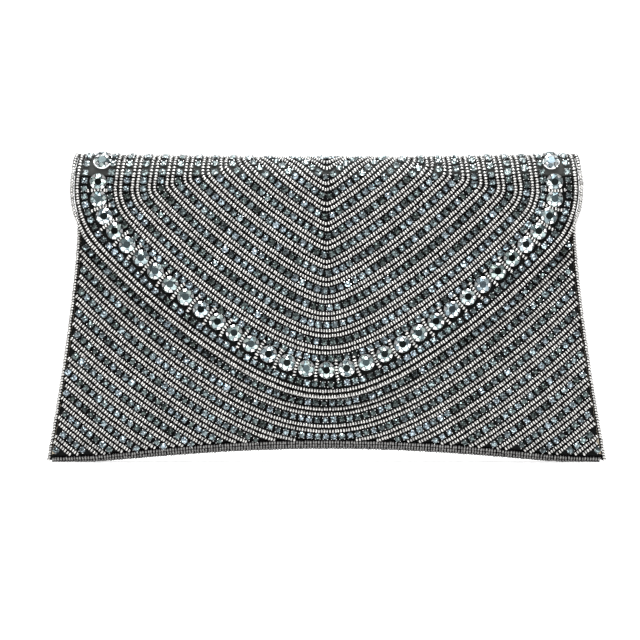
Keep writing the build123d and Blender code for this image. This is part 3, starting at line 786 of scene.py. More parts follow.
@dataclass
class Finishes:
    """Every material of the purse, made once, with lighter and darker copies of some that paint light and
    shade by place.
    """

    beads: bpy.types.Material
    top_beads: bpy.types.Material
    crystals: bpy.types.Material
    top_crystals: bpy.types.Material
    stones: bpy.types.Material
    claws: bpy.types.Material
    ground: bpy.types.Material
    top_ground: bpy.types.Material
    shaded_beads: bpy.types.Material
    lining: bpy.types.Material
    board: bpy.types.Material
    steel: bpy.types.Material
    magnet: bpy.types.Material

    @classmethod
    def make(cls) -> "Finishes":
        """Builds the materials."""
        small = (
            (0.05, 0.065, 0.06), (0.14, 0.18, 0.18), (0.30, 0.37, 0.40),
            (0.045, 0.058, 0.055), (0.38, 0.46, 0.52), (0.20, 0.26, 0.26),
        )
        # clear: crystal colours lightened for the fold, painted light on the upturned crest
        clear = (
            (0.30, 0.37, 0.37), (0.40, 0.48, 0.49), (0.50, 0.58, 0.60),
            (0.24, 0.30, 0.30), (0.46, 0.55, 0.56),
        )
        large = (
            (0.70, 0.78, 0.76), (0.85, 0.92, 0.98), (0.92, 0.97, 1.0),
            (0.55, 0.63, 0.60), (0.85, 0.93, 0.92),
        )
        # painted reflection brightness per facet, for the small crystals and then the large stones; over one
        # glows
        small_glints = ((0.12, 0.12, 0.12), (0.5, 0.5, 0.5), WHITE, (2.4, 2.45, 2.4))
        large_glints = (
            (0.008, 0.011, 0.010), (0.03, 0.04, 0.04), (0.16, 0.20, 0.22),
            (0.60, 0.68, 0.69), (1.2, 1.25, 1.2),
        )
        # top: bead finish lightened for the fold, painted light on the upturned crest
        top = SilverBeadFinish(
            "silver_lined_beads_painted_lit", (0.78, 0.78, 0.76), (0.42, 0.42, 0.41), (0.04, 0.04, 0.04)
        )
        # low: bead finish darkened for the bottom rows, painted shade where they face down
        low = SilverBeadFinish("silver_lined_beads_painted_shade", (0.26, 0.255, 0.25), (0.07, 0.07, 0.068))
        return cls(
            beads=SilverBeadFinish().make(),
            top_beads=top.make(),
            crystals=SmokyStoneFinish("smoky_crystals", small, small_glints).make(),
            top_crystals=SmokyStoneFinish("crystals_painted_lit", clear, small_glints).make(),
            stones=SmokyStoneFinish("smoky_stones", large, large_glints).make(),
            claws=PlatedFinish("claw_silver", (0.92, 0.93, 0.94), 0.16).make(),
            ground=ClothFinish("ground_satin", (0.009, 0.0095, 0.0095), sheen=0.0, gloss=0.0).make(),
            # the ground cloth made lighter for the fold: painted light
            top_ground=ClothFinish("ground_satin_painted_lit", (0.055, 0.057, 0.055), sheen=0.0, gloss=0.0).make(),
            shaded_beads=low.make(),
            lining=ClothFinish("lining_satin", (0.16, 0.16, 0.175), sheen=0.6).make(),
            board=CardFinish("stiffener_board", (0.46, 0.40, 0.31)).make(),
            steel=PlatedFinish("snap_nickel", (0.70, 0.68, 0.64), 0.22).make(),
            magnet=PlatedFinish("ferrite", (0.12, 0.12, 0.13), 0.6).make(),
        )


def dress(made: bpy.types.Object, slot: str, *materials: bpy.types.Material) -> bpy.types.Object:
    """Gives an object its materials."""
    made.data.materials.clear()
    for material in materials:
        made.data.materials.append(material)
    return made


# ------------------------------------------------------------------------------------ small forms
@dataclass(frozen=True)
class SeedBead:
    """One seed bead, its hole along the row."""

    diameter: float = 2.1 * MM
    length: float = 1.2 * MM
    pitch: float = 1.30 * MM

    def form(self) -> Form:
        """Eight-sided barrel: rings at four places along x, small at the ends.

        Its painted-light share is the middle rings' height above the cloth, a painted highlight on top and
        painted shade down the sides; the ends get none, which paints them in shade.
        """
        r, h = self.diameter / 2, self.length / 2
        radii, stations = [0.6 * r, 0.99 * r, 0.99 * r, 0.6 * r], [-h, -0.5 * h, 0.5 * h, h]
        barrel = turned_form(radii, stations, 8, np.pi / 8)
        points = barrel.points[:, [2, 0, 1]]
        # painted highlight on top, painted shade down the sides
        rise = np.clip(0.45 + 0.6 * points[:, 2] / r, 0.0, 1.0)
        return Form(points, barrel.faces, np.where(np.abs(points[:, 0]) < 0.8 * h, rise, 0.0))


@dataclass(frozen=True)
class SmallCrystal:
    """A round crystal in a four-claw cup, as sewn between the silver rows."""

    diameter: float = 3.3 * MM
    pitch: float = 3.82 * MM
    lift: float = 1.2 * MM

    def stone(self) -> Form:
        """Cut with ten sides: narrow foot, girdle, table."""
        r = self.diameter / 2
        return turned_form([0.5 * r, r, 0.66 * r, 0.3 * r], [-0.5 * r, 0.2 * r, 0.6 * r, 0.74 * r], 10)

    def cup(self) -> Form:
        """Low cup with four round claw tips pressed over the crown at its corners."""
        r = self.diameter / 2
        cup = turned_form([0.60 * r, 0.80 * r, 0.85 * r], [-0.62 * r, -0.1 * r, 0.1 * r], 10)
        tip = turned_form([0.12 * r, 0.20 * r, 0.12 * r], [-0.2 * r, 0.50 * r, 0.72 * r], 5)
        for corner in range(4):
            a = np.pi / 4 + corner * np.pi / 2
            moved = tip.points + np.array([0.95 * r * np.cos(a), 0.95 * r * np.sin(a), 0.0])
            cup = cup.joined(Form(moved, tip.faces))
        return cup


@dataclass(frozen=True)
class LargeStone:
    """One of the big round stones of the flap's edging."""

    diameter: float = 7.6 * MM
    table: float = 3.6 * MM
    lift: float = 0.55 * MM

    def stone(self) -> Form:
        """Cut as a brilliant: table, eight stars, eight kites, sixteen rim facets and the pavilion."""
        r, t = self.diameter / 2, self.table / 2
        girdle, crown, table = 1.75 * MM, 2.55 * MM, 3.15 * MM
        a16 = 2 * np.pi * np.arange(16) / 16
        a8 = 2 * np.pi * np.arange(8) / 8

        def ring(radius: float, angle: np.ndarray, z: float) -> np.ndarray:
            """Points on a level circle."""
            return np.stack([radius * np.cos(angle), radius * np.sin(angle), z + 0 * angle], 1)

        points = [ring(t, a8, table), ring(0.80 * r, a8 + np.pi / 8, crown), ring(r, a16, girdle)]
        points += [ring(0.96 * r, a16, girdle - 0.2 * MM), ring(0.25 * r, a8, 0.15 * MM)]
        # cut: each facet's painted reflection brightness, a dark table with crown facets alternately bright
        # and dark
        faces, cut = [list(range(8))], [0.18]
        for i in range(8):
            cut += [0.75, 0.30 if i % 2 else 0.80, 0.85, 0.25] + [0.6] * 4
            j, c, d = (i + 1) % 8, 8 + i, 8 + (i - 1) % 8
            g0, g1, g2 = 16 + 2 * i, 16 + (2 * i + 1) % 16, 16 + (2 * i + 2) % 16
            faces += [[i, c, j], [i, d, g0, c], [c, g0, g1], [c, g1, g2]]
            low = 48 + i
            faces += [[g0, g0 + 16, g1 + 16, g1], [g1, g1 + 16, g2 + 16, g2]]
            faces += [[g0 + 16, low, g1 + 16], [g1 + 16, low, 48 + j, g2 + 16]]
        faces.append([48 + i for i in range(8)][::-1])
        return Form(np.concatenate(points), faces, cut=np.array(cut + [0.2]), glint_play=0.75)

    def cup(self) -> Form:
        """Round cup wall with four broad claws folded over the crown."""
        r = self.diameter / 2
        radii = [0.80 * r, 1.02 * r, 1.06 * r, 1.02 * r]
        wall = turned_form(radii, [0.1 * MM, 0.2 * MM, 1.2 * MM, 1.62 * MM], 20)
        for corner in range(4):
            a = np.pi / 4 + corner * np.pi / 2
            wall = wall.joined(self.claw(a))
        return wall

    def claw(self, angle: float) -> Form:
        """Strip that climbs outside the girdle and bends in over the crown to a rounded tip."""
        r = self.diameter / 2
        radial = np.array([1.07, 1.09, 1.00, 0.80, 0.66]) * r
        height = np.array([0.3, 1.6, 2.35, 2.95, 3.05]) * MM
        half = np.array([0.85, 0.85, 0.85, 0.75, 0.40]) * MM
        thick = np.array([0.35, 0.35, 0.35, 0.30, 0.20]) * MM
        rows = []
        for k in range(5):
            inward, down = (0.5, 0.0) if k < 2 else (0.2, 1.0)
            for side, drop in ((-1, 0.0), (1, 0.0), (1, -1.0), (-1, -1.0)):
                deep = drop * thick[k]
                rows.append([radial[k] + deep * inward, side * half[k], height[k] + deep * down])
        local = np.array(rows)
        c, s = math.cos(angle), math.sin(angle)
        turn = np.array([[c, -s, 0], [s, c, 0], [0, 0, 1]])
        faces = [[0, 1, 2, 3], [19, 18, 17, 16]]
        for k in range(4):
            for i in range(4):
                j = (i + 1) % 4
                faces.append([4 * k + j, 4 * k + i, 4 * k + 4 + i, 4 * k + 4 + j])
        return Form(local @ turn.T, [f[::-1] for f in faces])


# ------------------------------------------------------------------------------------ bead rows
@dataclass(frozen=True)
class RowPlan:
    """Which rows run where: distances inside the flap's edge, with what is sewn on each."""

    period: float = 7.95 * MM
    pair: float = 2.4 * MM
    crystal_step: float = 5.1 * MM
    field_start: float = 20.6 * MM
    front_start: float = 3.1 * MM
    front_step: float = 2.9 * MM
    under_flap: float = 12.5 * MM

    def flap(self) -> list[tuple[float, Row]]:
        """Rows of the flap: the edging's rows one by one, then pair and crystals again and again."""
        rows = [(0.0, Row.SILVER), (2.6 * MM, Row.SILVER), (5.8 * MM, Row.CRYSTAL), (17.9 * MM, Row.CRYSTAL)]
        for k in range(13):
            first = self.field_start + k * self.period
            rows += [(first, Row.SILVER), (first + self.pair, Row.SILVER)]
            rows.append((first + self.crystal_step, Row.CRYSTAL))
        return rows

    def in_place_of_stones(self) -> list[tuple[float, Row]]:
        """Rows that fill the big stones' band where it runs on over the back."""
        return [(inset * MM, Row.SILVER) for inset in (8.6, 10.8, 13.0, 15.2)]

    def front(self) -> list[tuple[float, Row]]:
        """Rows of the front: the same rhythm outwards from the flap's edge, and a little way under it."""
        rows = []
        for k in range(-2, 12):
            first = -self.front_start - k * self.period
            silver = first - self.front_step
            rows += [(first, Row.CRYSTAL), (silver, Row.SILVER), (silver - self.pair, Row.SILVER)]
        return [(d, kind) for d, kind in rows if d < self.under_flap]


@dataclass
class BeadRows:
    """Turns chart rows into places on the purse."""

    shape: PurseShape
    edge: FlapEdge
    probe: float = 0.2 * MM
    row_gap: float = 2.15 * MM
    bottom_rows: int = 9
    bottom_inset: float = 1.2 * MM
    seam_clear: float = 1.0 * MM
    filling_from: float = 0.62
    edge_row: float = 1.0 * MM
    side_margin: float = 0.8 * MM
    middle_gap: float = 1.1 * MM
    front_top: float = 121.0 * MM

    def walked(self, inset: float, kind: Row) -> tuple[np.ndarray, np.ndarray]:
        """Even places along a row, with the row's heading at each.

        Args:
            inset: Distance inside the flap's edge.
            kind: What is sewn along it, which sets the pitch.

        Returns:
            Chart places (n, 2) and headings (n, 2).
        """
        pitch = SeedBead().pitch if kind is Row.SILVER else SmallCrystal().pitch
        line = self.edge.line(inset)
        if len(line) < FEWEST_POINTS:
            return np.zeros((0, 2)), np.zeros((0, 2))
        places = evenly(line, pitch)
        if len(places) < FEWEST_PLACES:
            return np.zeros((0, 2)), np.zeros((0, 2))
        return places, unit(np.gradient(places, axis=0))

    def frames(self, surface: Surface, chart: np.ndarray, heading: np.ndarray, lift: float) -> Placement:
        """Places on a surface: the row's direction, and the normal as the cross of two small steps.

        Args:
            surface: Function of x, v and lift that gives points.
            chart: Chart places (n, 2).
            heading: Chart headings (n, 2).
            lift: Height of the middles off the ground.

        Returns:
            The places.
        """
        x, v = chart[:, 0], chart[:, 1]
        high = np.full_like(x, lift)
        e = self.probe
        across = surface(x + e, v, high) - surface(x - e, v, high)
        upward = surface(x, v + e, high) - surface(x, v - e, high)
        along = surface(x + e * heading[:, 0], v + e * heading[:, 1], high)
        along = along - surface(x - e * heading[:, 0], v - e * heading[:, 1], high)
        return Placement(surface(x, v, high), unit(along), unit(np.cross(across, upward)))

    def shell_frames(self, side: Side, chart: np.ndarray, heading: np.ndarray, lift: float) -> Placement:
        """Places on a shell of the pouch, facing away from it."""

        def surface(x: np.ndarray, v: np.ndarray, height: np.ndarray) -> np.ndarray:
            """The shell's points."""
            return self.shape.shell_point(side, x, v, height)

        found = self.frames(surface, chart, heading, lift)
        return Placement(found.origin, found.along, -side.value * found.out)

    def along_bottom(self, side: Side) -> Placement:
        """Silver rows side by side, from the bottom edge to the seam beneath."""
        reach = self.shape.foot_half - self.bottom_inset
        x = np.arange(-reach, reach, SeedBead().pitch)
        parts = []
        for k in range(self.bottom_rows):
            chart = np.stack([x, self.shape.roll_v(x) - k * self.row_gap], 1)
            keep = chart[:, 1] > self.shape.seam_v(side, x) + self.seam_clear
            heading = unit(np.gradient(chart, axis=0))
            parts.append(self.shell_frames(side, chart[keep], heading[keep], SeedBead.diameter / 2))
        return joined_places(parts)

    def crest_v(self, x: np.ndarray) -> np.ndarray:
        """Chart place of the middle of the fold."""
        return self.shape.fold_base + self.shape.fold_length(x) / 2

    def on_flap(self, kind: Row, lift: float) -> dict[str, Placement]:
        """Places on the flap, on both halves of the fold and down the back, from the same rows.

        Args:
            kind: Silver or crystal rows.
            lift: Height of the middles off the ground.

        Returns:
            Places by zone: flap, fold_front, fold_back, back.
        """
        zones: dict[str, list[Placement]] = {"flap": [], "fold_front": [], "fold_back": [], "back": []}
        filling = RowPlan().in_place_of_stones()
        for inset, what in RowPlan().flap() + filling:
            if what is not kind:
                continue
            chart, heading = self.walked(inset, kind)
            if (inset, what) in filling:
                over = self.filling_from * self.shape.fold_length(chart[:, 0])
                behind = chart[:, 1] > self.shape.fold_base + over
                chart, heading = chart[behind], heading[behind]
            if not len(chart):
                continue
            x, v = chart[:, 0], chart[:, 1]
            top = self.shape.fold_base
            end = top + self.shape.fold_length(x)
            places = self.frames(self.shape.flap_point, chart, heading, lift)
            zones["flap"].append(places.picked(v <= top))
            zones["fold_front"].append(places.picked((v > top) & (v <= self.crest_v(x))))
            zones["fold_back"].append(places.picked((v > self.crest_v(x)) & (v <= end)))
            if inset < self.edge_row:
                continue
            past = v > end
            bx, bz = self.shape.back_from_fold(x[past], v[past])
            keep = (bz > self.shape.roll_v(bx) + self.row_gap) & (np.abs(bx) > self.middle_gap)
            keep &= np.abs(bx) < self.shape.half_width(bz) - self.side_margin
            down = np.stack([bx, bz], 1)[keep]
            ahead = np.tile([0.0, 1.0], (len(down), 1))
            zones["back"].append(self.shell_frames(Side.BACK, down, ahead, lift))
        return {name: joined_places(parts) for name, parts in zones.items() if parts}

    def on_front(self, kind: Row, lift: float) -> Placement:
        """Places on the front, clear of the side seams and of the bottom row."""
        parts = []
        for inset, what in RowPlan().front():
            if what is not kind:
                continue
            chart, heading = self.walked(inset, kind)
            if not len(chart):
                continue
            x, v = chart[:, 0], chart[:, 1]
            margin, clear = (0.5 * MM, 0.75) if kind is Row.SILVER else (1.2 * MM, 1.0)
            keep = (np.abs(x) < self.shape.half_width(v) - margin) & (v < self.front_top)
            keep &= v > self.shape.roll_v(x) + clear * self.row_gap
            if keep.any():
                parts.append(self.shell_frames(Side.FRONT, chart[keep], heading[keep], lift))
        return joined_places(parts)


# ------------------------------------------------------------------------------------ sub-assemblies
@dataclass
class Assembly:
    """What every sub-assembly needs: the shape, the rows, the finishes and its own chance numbers."""

    shape: PurseShape
    rows: BeadRows
    finishes: Finishes
    seed: int = 7
    fabric: float = 0.5 * MM
    lining_out: float = 1.8 * MM
    lining_in: float = 2.2 * MM

    def rng(self, name: str) -> np.random.Generator:
        """Chance numbers that depend only on the piece's name."""
        return np.random.default_rng([self.seed, *name.encode()])

    def beads(
        self, name: str, places: Placement, *replaced: str, finish: bpy.types.Material | None = None
    ) -> bpy.types.Object:
        """A mesh of silver beads on the given places."""
        made = copies_object(name, SeedBead().form(), places, self.rng(name), Wobble())
        dress(made, "beads", finish or self.finishes.beads)
        if replaced:
            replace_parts(made, *replaced)
        LOG.info("%s: %d beads", name, len(places))
        return made

    def two_halves(self, name: str, places: Placement, body: str, *replaced: str) -> None:
        """Silver beads in a left and a right piece, both riding on one body."""
        for side, keep in (("left", places.origin[:, 0] < 0), ("right", places.origin[:, 0] >= 0)):
            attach(self.beads(f"{name}_{side}", places.picked(keep), *replaced), body)

    def crystals(
        self, name: str, places: Placement, finish: bpy.types.Material | None = None
    ) -> tuple[bpy.types.Object, bpy.types.Object]:
        """Small crystals and their cups on the given places, as two meshes."""
        pieces = []
        kinds = (("stones", SmallCrystal().stone(), finish or self.finishes.crystals, "stones"),
                 ("cups", SmallCrystal().cup(), self.finishes.claws, "settings"))
        for suffix, form, finish, slot in kinds:
            made = copies_object(f"{name}_{suffix}", form, places, self.rng(name), Wobble(0.09, 0.05), False)
            pieces.append(dress(made, slot, finish))
        LOG.info("%s: %d crystals", name, len(places))
        return pieces[0], pieces[1]

    def cloth(
        self, name: str, outer: np.ndarray, inner: np.ndarray, node: str, slot: str,
        finish: bpy.types.Material, pieces: tuple[bpy.types.Object, ...] = (),
    ) -> bpy.types.Object:
        """A cut of cloth; its flat size is logged: width across, longest column, and the grid's area.

        Args:
            name: Object name.
            outer: Grid of points on its outer face.
            inner: The same grid on its inner face.
            node: The solid that it takes the place of.
            slot: Not used.
            finish: Its material.
            pieces: Narrow pieces sewn to it; not used.

        Returns:
            The object.
        """
        made = dress(sheet_object(name, outer, inner), slot, finish)
        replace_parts(made, node)
        width = np.ptp(outer[..., 0])
        length = np.linalg.norm(np.diff(outer, axis=0), axis=2).sum(0).max()
        crossed = np.cross(outer[1:, 1:] - outer[:-1, :-1], outer[1:, :-1] - outer[:-1, 1:])
        area = min(0.5 * np.linalg.norm(crossed, axis=2).sum(), width * length)
        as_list(pieces)
        LOG.info("%s: cut %.0f x %.0f mm, %.0f cm2", name, width / MM, length / MM, area * 1e4)
        return made


@dataclass
class Pouch(Assembly):
    """Cloth, lining, beads and pocket of the part that stays still."""

    rows_down: int = 70
    columns: int = 120
    mouth: float = 128.0 * MM
    gap: float = 0.05 * MM
    tape: float = 0.5 * MM
    tape_depth: float = 7.0 * MM
    tape_inset: float = 1.7 * MM
    gusset: float = 1.2 * MM
    gusset_inset: float = 0.1 * MM
    gusset_foot: float = 4.0 * MM
    seam_foot: float = 1.1 * MM
    seam_rows_across: int = 6
    seam_lean: float = 1.4
    pocket_half: float = 70.0 * MM
    pocket_heights: tuple[float, float] = (32.0 * MM, 104.0 * MM)
    hem_heights: tuple[float, float] = (104.05 * MM, 107.05 * MM)
    pocket_cloth: float = 0.4 * MM

    def shell_grids(self, side: Side, outer: float, inner: float, top: float) -> list[np.ndarray]:
        """Both faces of one shell: columns share the width, rows share the way from seam to top."""
        u = np.linspace(-1, 1, self.columns)[None, :]
        t = np.linspace(0, 1, self.rows_down)[:, None]
        x = u * self.shape.foot_half + 0 * t
        for _ in range(3):
            low = self.shape.seam_v(side, x) + 0.1 * MM
            v = low + (top - low) * t
            x = u * self.shape.half_width(v) * 0.999
        grids = [self.shape.shell_point(side, x, v, np.full_like(x, -d)) for d in (outer, inner)]
        return [g[:, ::-1] for g in grids] if side is Side.BACK else grids

    def build(self) -> None:
        """Makes the cloth, the lining, the narrow pieces and the beads, and sets each on the pouch."""
        top, back_top = self.mouth, self.shape.fold_base
        ground, lining = self.finishes.ground, self.finishes.lining
        out, inside = self.lining_out, self.lining_in
        tape = self.binding()
        gussets = self.gussets()
        plans = (
            ("front_cloth", Side.FRONT, 0.0, self.fabric, top, "front_fabric", "satin", ground, (tape,)),
            ("back_cloth", Side.BACK, 0.0, self.fabric, back_top, "back_fabric", "satin", ground, ()),
            ("front_lining_cloth", Side.FRONT, out, inside, top, "front_lining", "lining", lining, gussets),
            ("back_lining_cloth", Side.BACK, out, inside, back_top, "back_lining", "lining", lining, ()),
        )
        for name, side, outer, inner, height, node, slot, finish, pieces in plans:
            grids = self.shell_grids(side, outer, inner, height)
            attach(self.cloth(name, *grids, node, slot, finish, pieces), "pouch")
        self.pocket()
        self.front_beads()
        self.back_beads()
        self.seam_rows()

    def narrow(
        self, name: str, outer: np.ndarray, inner: np.ndarray, node: str, finish: bpy.types.Material
    ) -> bpy.types.Object:
        """A narrow strip of cloth that goes with a larger cut."""
        made = dress(sheet_object(name, outer, inner), "lining", finish)
        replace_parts(made, node)
        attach(made, "pouch")
        LOG.info("%s", name)
        return made

    def binding(self) -> bpy.types.Object:
        """Tape folded over the front's top edge: up the outside, over, and down the inside."""
        half = self.shape.half_width(np.array(self.mouth)) - self.tape_inset
        x = np.linspace(-half, half, self.columns)[None, :]
        low, high = self.mouth - self.tape_depth, self.mouth + self.gap
        faces = []
        for grow in (self.tape, 0.0):
            out, inside = self.gap + grow, -self.lining_in - self.gap - grow
            path = [(out, low), (out, high + 0.4 * grow), (0.4 * out, high + grow)]
            path += [(0.6 * inside, high + grow), (inside, high + 0.4 * grow), (inside, low)]
            lifts = np.array([p[0] for p in path])[:, None] + 0 * x
            heights = np.array([p[1] for p in path])[:, None] + 0 * x
            faces.append(self.shape.shell_point(Side.FRONT, x + 0 * lifts, heights, lifts))
        return self.narrow("mouth_tape", faces[0], faces[1], "mouth_binding", self.finishes.ground)

    def gussets(self) -> tuple[bpy.types.Object, ...]:
        """Strips that close the sides between the linings."""
        made = []
        for side, sign in (("left", -1), ("right", 1)):
            z = np.linspace(self.gusset_foot, self.mouth, 60)[:, None]
            across = np.linspace(-sign, sign, 6)[None, :]
            reach = self.shape.seam_half - self.lining_in - self.gap
            b = self.shape.belly(z)
            y = self.shape.seam_shift * (1 - b) + across * reach + self.shape.mid_shift
            grids = []
            for inset in (self.gusset_inset, self.gusset_inset + self.gusset):
                x = sign * (self.shape.half_width(z) - inset) + 0 * y
                grids.append(np.stack([x, y, z + 0 * y], -1))
            name = f"{side}_gusset_strip"
            made.append(self.narrow(name, *grids, f"{side}_gusset", self.finishes.lining))
        return tuple(made)

    def pocket(self) -> None:
        """Slip pocket on the back lining, with its folded hem."""
        x = np.linspace(1, -1, 40)[None, :] * self.pocket_half
        out = self.lining_in + self.gap
        grids = {}
        for name, low, high, thick in (("panel", *self.pocket_heights, 1), ("hem", *self.hem_heights, 2)):
            v = np.linspace(low, high, 30)[:, None] + 0 * x
            lifts = [np.full_like(v, d) for d in (-out, -out - thick * self.pocket_cloth)]
            grids[name] = [self.shape.shell_point(Side.BACK, x + 0 * v, v, lift) for lift in lifts]
        lining = self.finishes.lining
        hem = self.narrow("pocket_hem_strip", *grids["hem"], "pocket_hem", lining)
        panel = self.cloth("pocket_cloth", *grids["panel"], "pocket_panel", "lining", lining, (hem,))
        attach(panel, "pouch")

    def front_beads(self) -> None:
        """Rows below the flap and along the bottom."""
        silver = self.rows.on_front(Row.SILVER, SeedBead.diameter / 2)
        self.two_halves("front_beads", silver, "pouch", "front_beadwork")
        # the bottom rows take the darker bead finish: painted shade where they face down
        shaded = self.finishes.shaded_beads
        for half, side in (("front", Side.FRONT), ("back", Side.BACK)):
            name, places = f"bottom_rows_{half}", self.rows.along_bottom(side)
            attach(self.beads(name, places, f"{half}_beadwork", finish=shaded), "pouch")
        for made in self.crystals("front_crystals", self.rows.on_front(Row.CRYSTAL, SmallCrystal.lift)):
            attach(made, "pouch")

    def back_beads(self) -> None:
        """Rows of the back."""
        silver = self.rows.on_flap(Row.SILVER, SeedBead.diameter / 2)["back"]
        self.two_halves("back_beads", silver, "pouch", "back_beadwork")
        places = self.rows.on_flap(Row.CRYSTAL, SmallCrystal.lift)["back"]
        for made in self.crystals("back_crystals", places):
            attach(made, "pouch")

    def seam_rows(self) -> None:
        """Rows up both side seams, side by side across the seam."""
        for side, sign in (("left", -1), ("right", 1)):
            parts = []
            for across in np.linspace(-1, 1, self.seam_rows_across):
                z = np.arange(self.seam_foot, self.shape.fold_base, SeedBead().pitch)
                b = self.shape.belly(z)
                y = self.shape.seam_shift * (1 - b) + across * self.shape.seam_half + self.shape.mid_shift
                x = sign * (self.shape.half_width(z) + SeedBead().diameter / 2)
                line = np.stack([x, y, z], 1)
                along = unit(np.gradient(line, axis=0))
                out = np.tile([sign * (self.seam_lean - abs(across)), across, 0.0], (len(z), 1))
                parts.append(Placement(line, along, unit(out)))
            made = self.beads(f"{side}_seam_rows", joined_places(parts), f"{side}_seam_beads")
            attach(made, "pouch")


@dataclass
class Fold(Assembly):
    """The rounded top, in a front half by the flap and a back half by the pouch."""

    columns: int = 120
    steps: int = 16
    edge_inset: float = 0.9 * MM

    def corner_points(self, front: bool) -> tuple[Triple, Triple]:
        """Where one round edge of the fold starts and ends.

        Args:
            front: The edge by the flap, or else the edge by the back.

        Returns:
            Start and end.
        """
        s = self.shape
        top = s.fold_base + s.fold_radius
        if front:
            y = s.flap_top_y + s.mid_shift
            return (0.0, y + s.fold_radius, top), (0.0, y, s.fold_base)
        y = s.back_top_y + s.mid_shift
        return (0.0, y, s.fold_base), (0.0, y - s.fold_radius, top)

    def bend(self, made: bpy.types.Object, front: bool) -> None:
        """Bakes a piece's placement into its mesh; the edge's start and end are worked out but not used."""
        start, end = self.corner_points(front)
        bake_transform(made)
        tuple(start)
        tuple(end)

    def half_grids(self, front: bool, outer: float, inner: float) -> list[np.ndarray]:
        """Both faces of a sheet over half of the fold, as wide at each place as the flap's edge row."""
        s = self.shape
        u = np.linspace(-1, 1, self.columns)[None, :]
        t = np.linspace(0, 1, self.steps)[:, None]
        line = self.rows.edge.line(self.edge_inset)
        right = line[len(line) // 2 :]
        right = right[right[:, 1] > s.fold_base - 10 * MM]
        x = u * s.top_half + 0 * t
        for _ in range(3):
            middle = self.rows.crest_v(x)
            low, high = (s.fold_base + 0 * x, middle) if front else (middle, s.fold_base + s.fold_length(x))
            v = low + (high - low) * t
            x = u * np.interp(v, right[:, 1], right[:, 0])
        return [s.flap_point(x, v, np.full_like(x, -d)) for d in (outer, inner)]

    def build(self) -> None:
        """Makes the fold's cloth, lining and beads."""
        # the fold takes the lighter copies of ground, beads and crystals: painted light on the upturned
        # crest
        f = self.finishes
        for front, half in ((True, "front"), (False, "back")):
            grids = self.half_grids(front, 0.0, self.fabric)
            cloth = self.cloth(f"fold_cloth_{half}", *grids, "fold_fabric", "satin", f.top_ground)
            grids = self.half_grids(front, self.lining_out, self.lining_in)
            inside = self.cloth(f"fold_lining_{half}", *grids, "fold_lining", "lining", f.lining)
            zone = f"fold_{half}"
            silver = self.rows.on_flap(Row.SILVER, SeedBead.diameter / 2)[zone]
            beads = self.beads(f"fold_beads_{half}", silver, "fold_beadwork", finish=f.top_beads)
            places = self.rows.on_flap(Row.CRYSTAL, SmallCrystal.lift)[zone]
            crystals = self.crystals(f"fold_crystals_{half}", places, f.top_crystals)
            for made in (cloth, inside, beads, *crystals):
                self.bend(made, front)


@dataclass
class Flap(Assembly):
    """Cloth, lining and beads of the flap."""

    columns: int = 220
    steps: int = 50
    edge_inset: float = 1.1 * MM

    def grids(self, outer: float, inner: float) -> list[np.ndarray]:
        """Both faces of a sheet whose rows run from the edge line straight to the top line."""
        line = self.rows.edge.line(self.edge_inset)
        line = line[line[:, 1] <= self.shape.fold_base]
        share = np.linspace(0, 1, self.columns) * (len(line) - 1)
        number = np.arange(len(line))
        edge = np.stack([np.interp(share, number, line[:, k]) for k in range(2)], 1)
        width = np.abs(edge[0, 0])
        level = np.full(self.columns, self.shape.fold_base)
        top = np.stack([np.linspace(-width, width, self.columns), level], 1)
        t = np.linspace(0, 1, self.steps)[:, None, None]
        grid = edge[None] * (1 - t) + top[None] * t
        x, v = grid[..., 0], grid[..., 1]
        return [self.shape.flap_point(x, v, np.full_like(x, -d)) for d in (outer, inner)]

    def build(self) -> None:
        """Makes the flap's cloth, lining, beads and crystals."""
        f = self.finishes
        grids = self.grids(0.0, self.fabric)
        cloth = self.cloth("flap_cloth", *grids, "flap_fabric", "satin", f.ground)
        grids = self.grids(self.lining_out, self.lining_in)
        inside = self.cloth("flap_lining_cloth", *grids, "flap_lining", "lining", f.lining)
        silver = self.rows.on_flap(Row.SILVER, SeedBead.diameter / 2)["flap"]
        nodes = ("flap_edge_beads", "flap_edge_beadwork", "flap_field_beadwork")
        self.two_halves("flap_beads", silver, "flap", *nodes)
        crystals = self.crystals("flap_crystals", self.rows.on_flap(Row.CRYSTAL, SmallCrystal.lift)["flap"])
        for made in (cloth, inside, *crystals):
            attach(made, "flap")


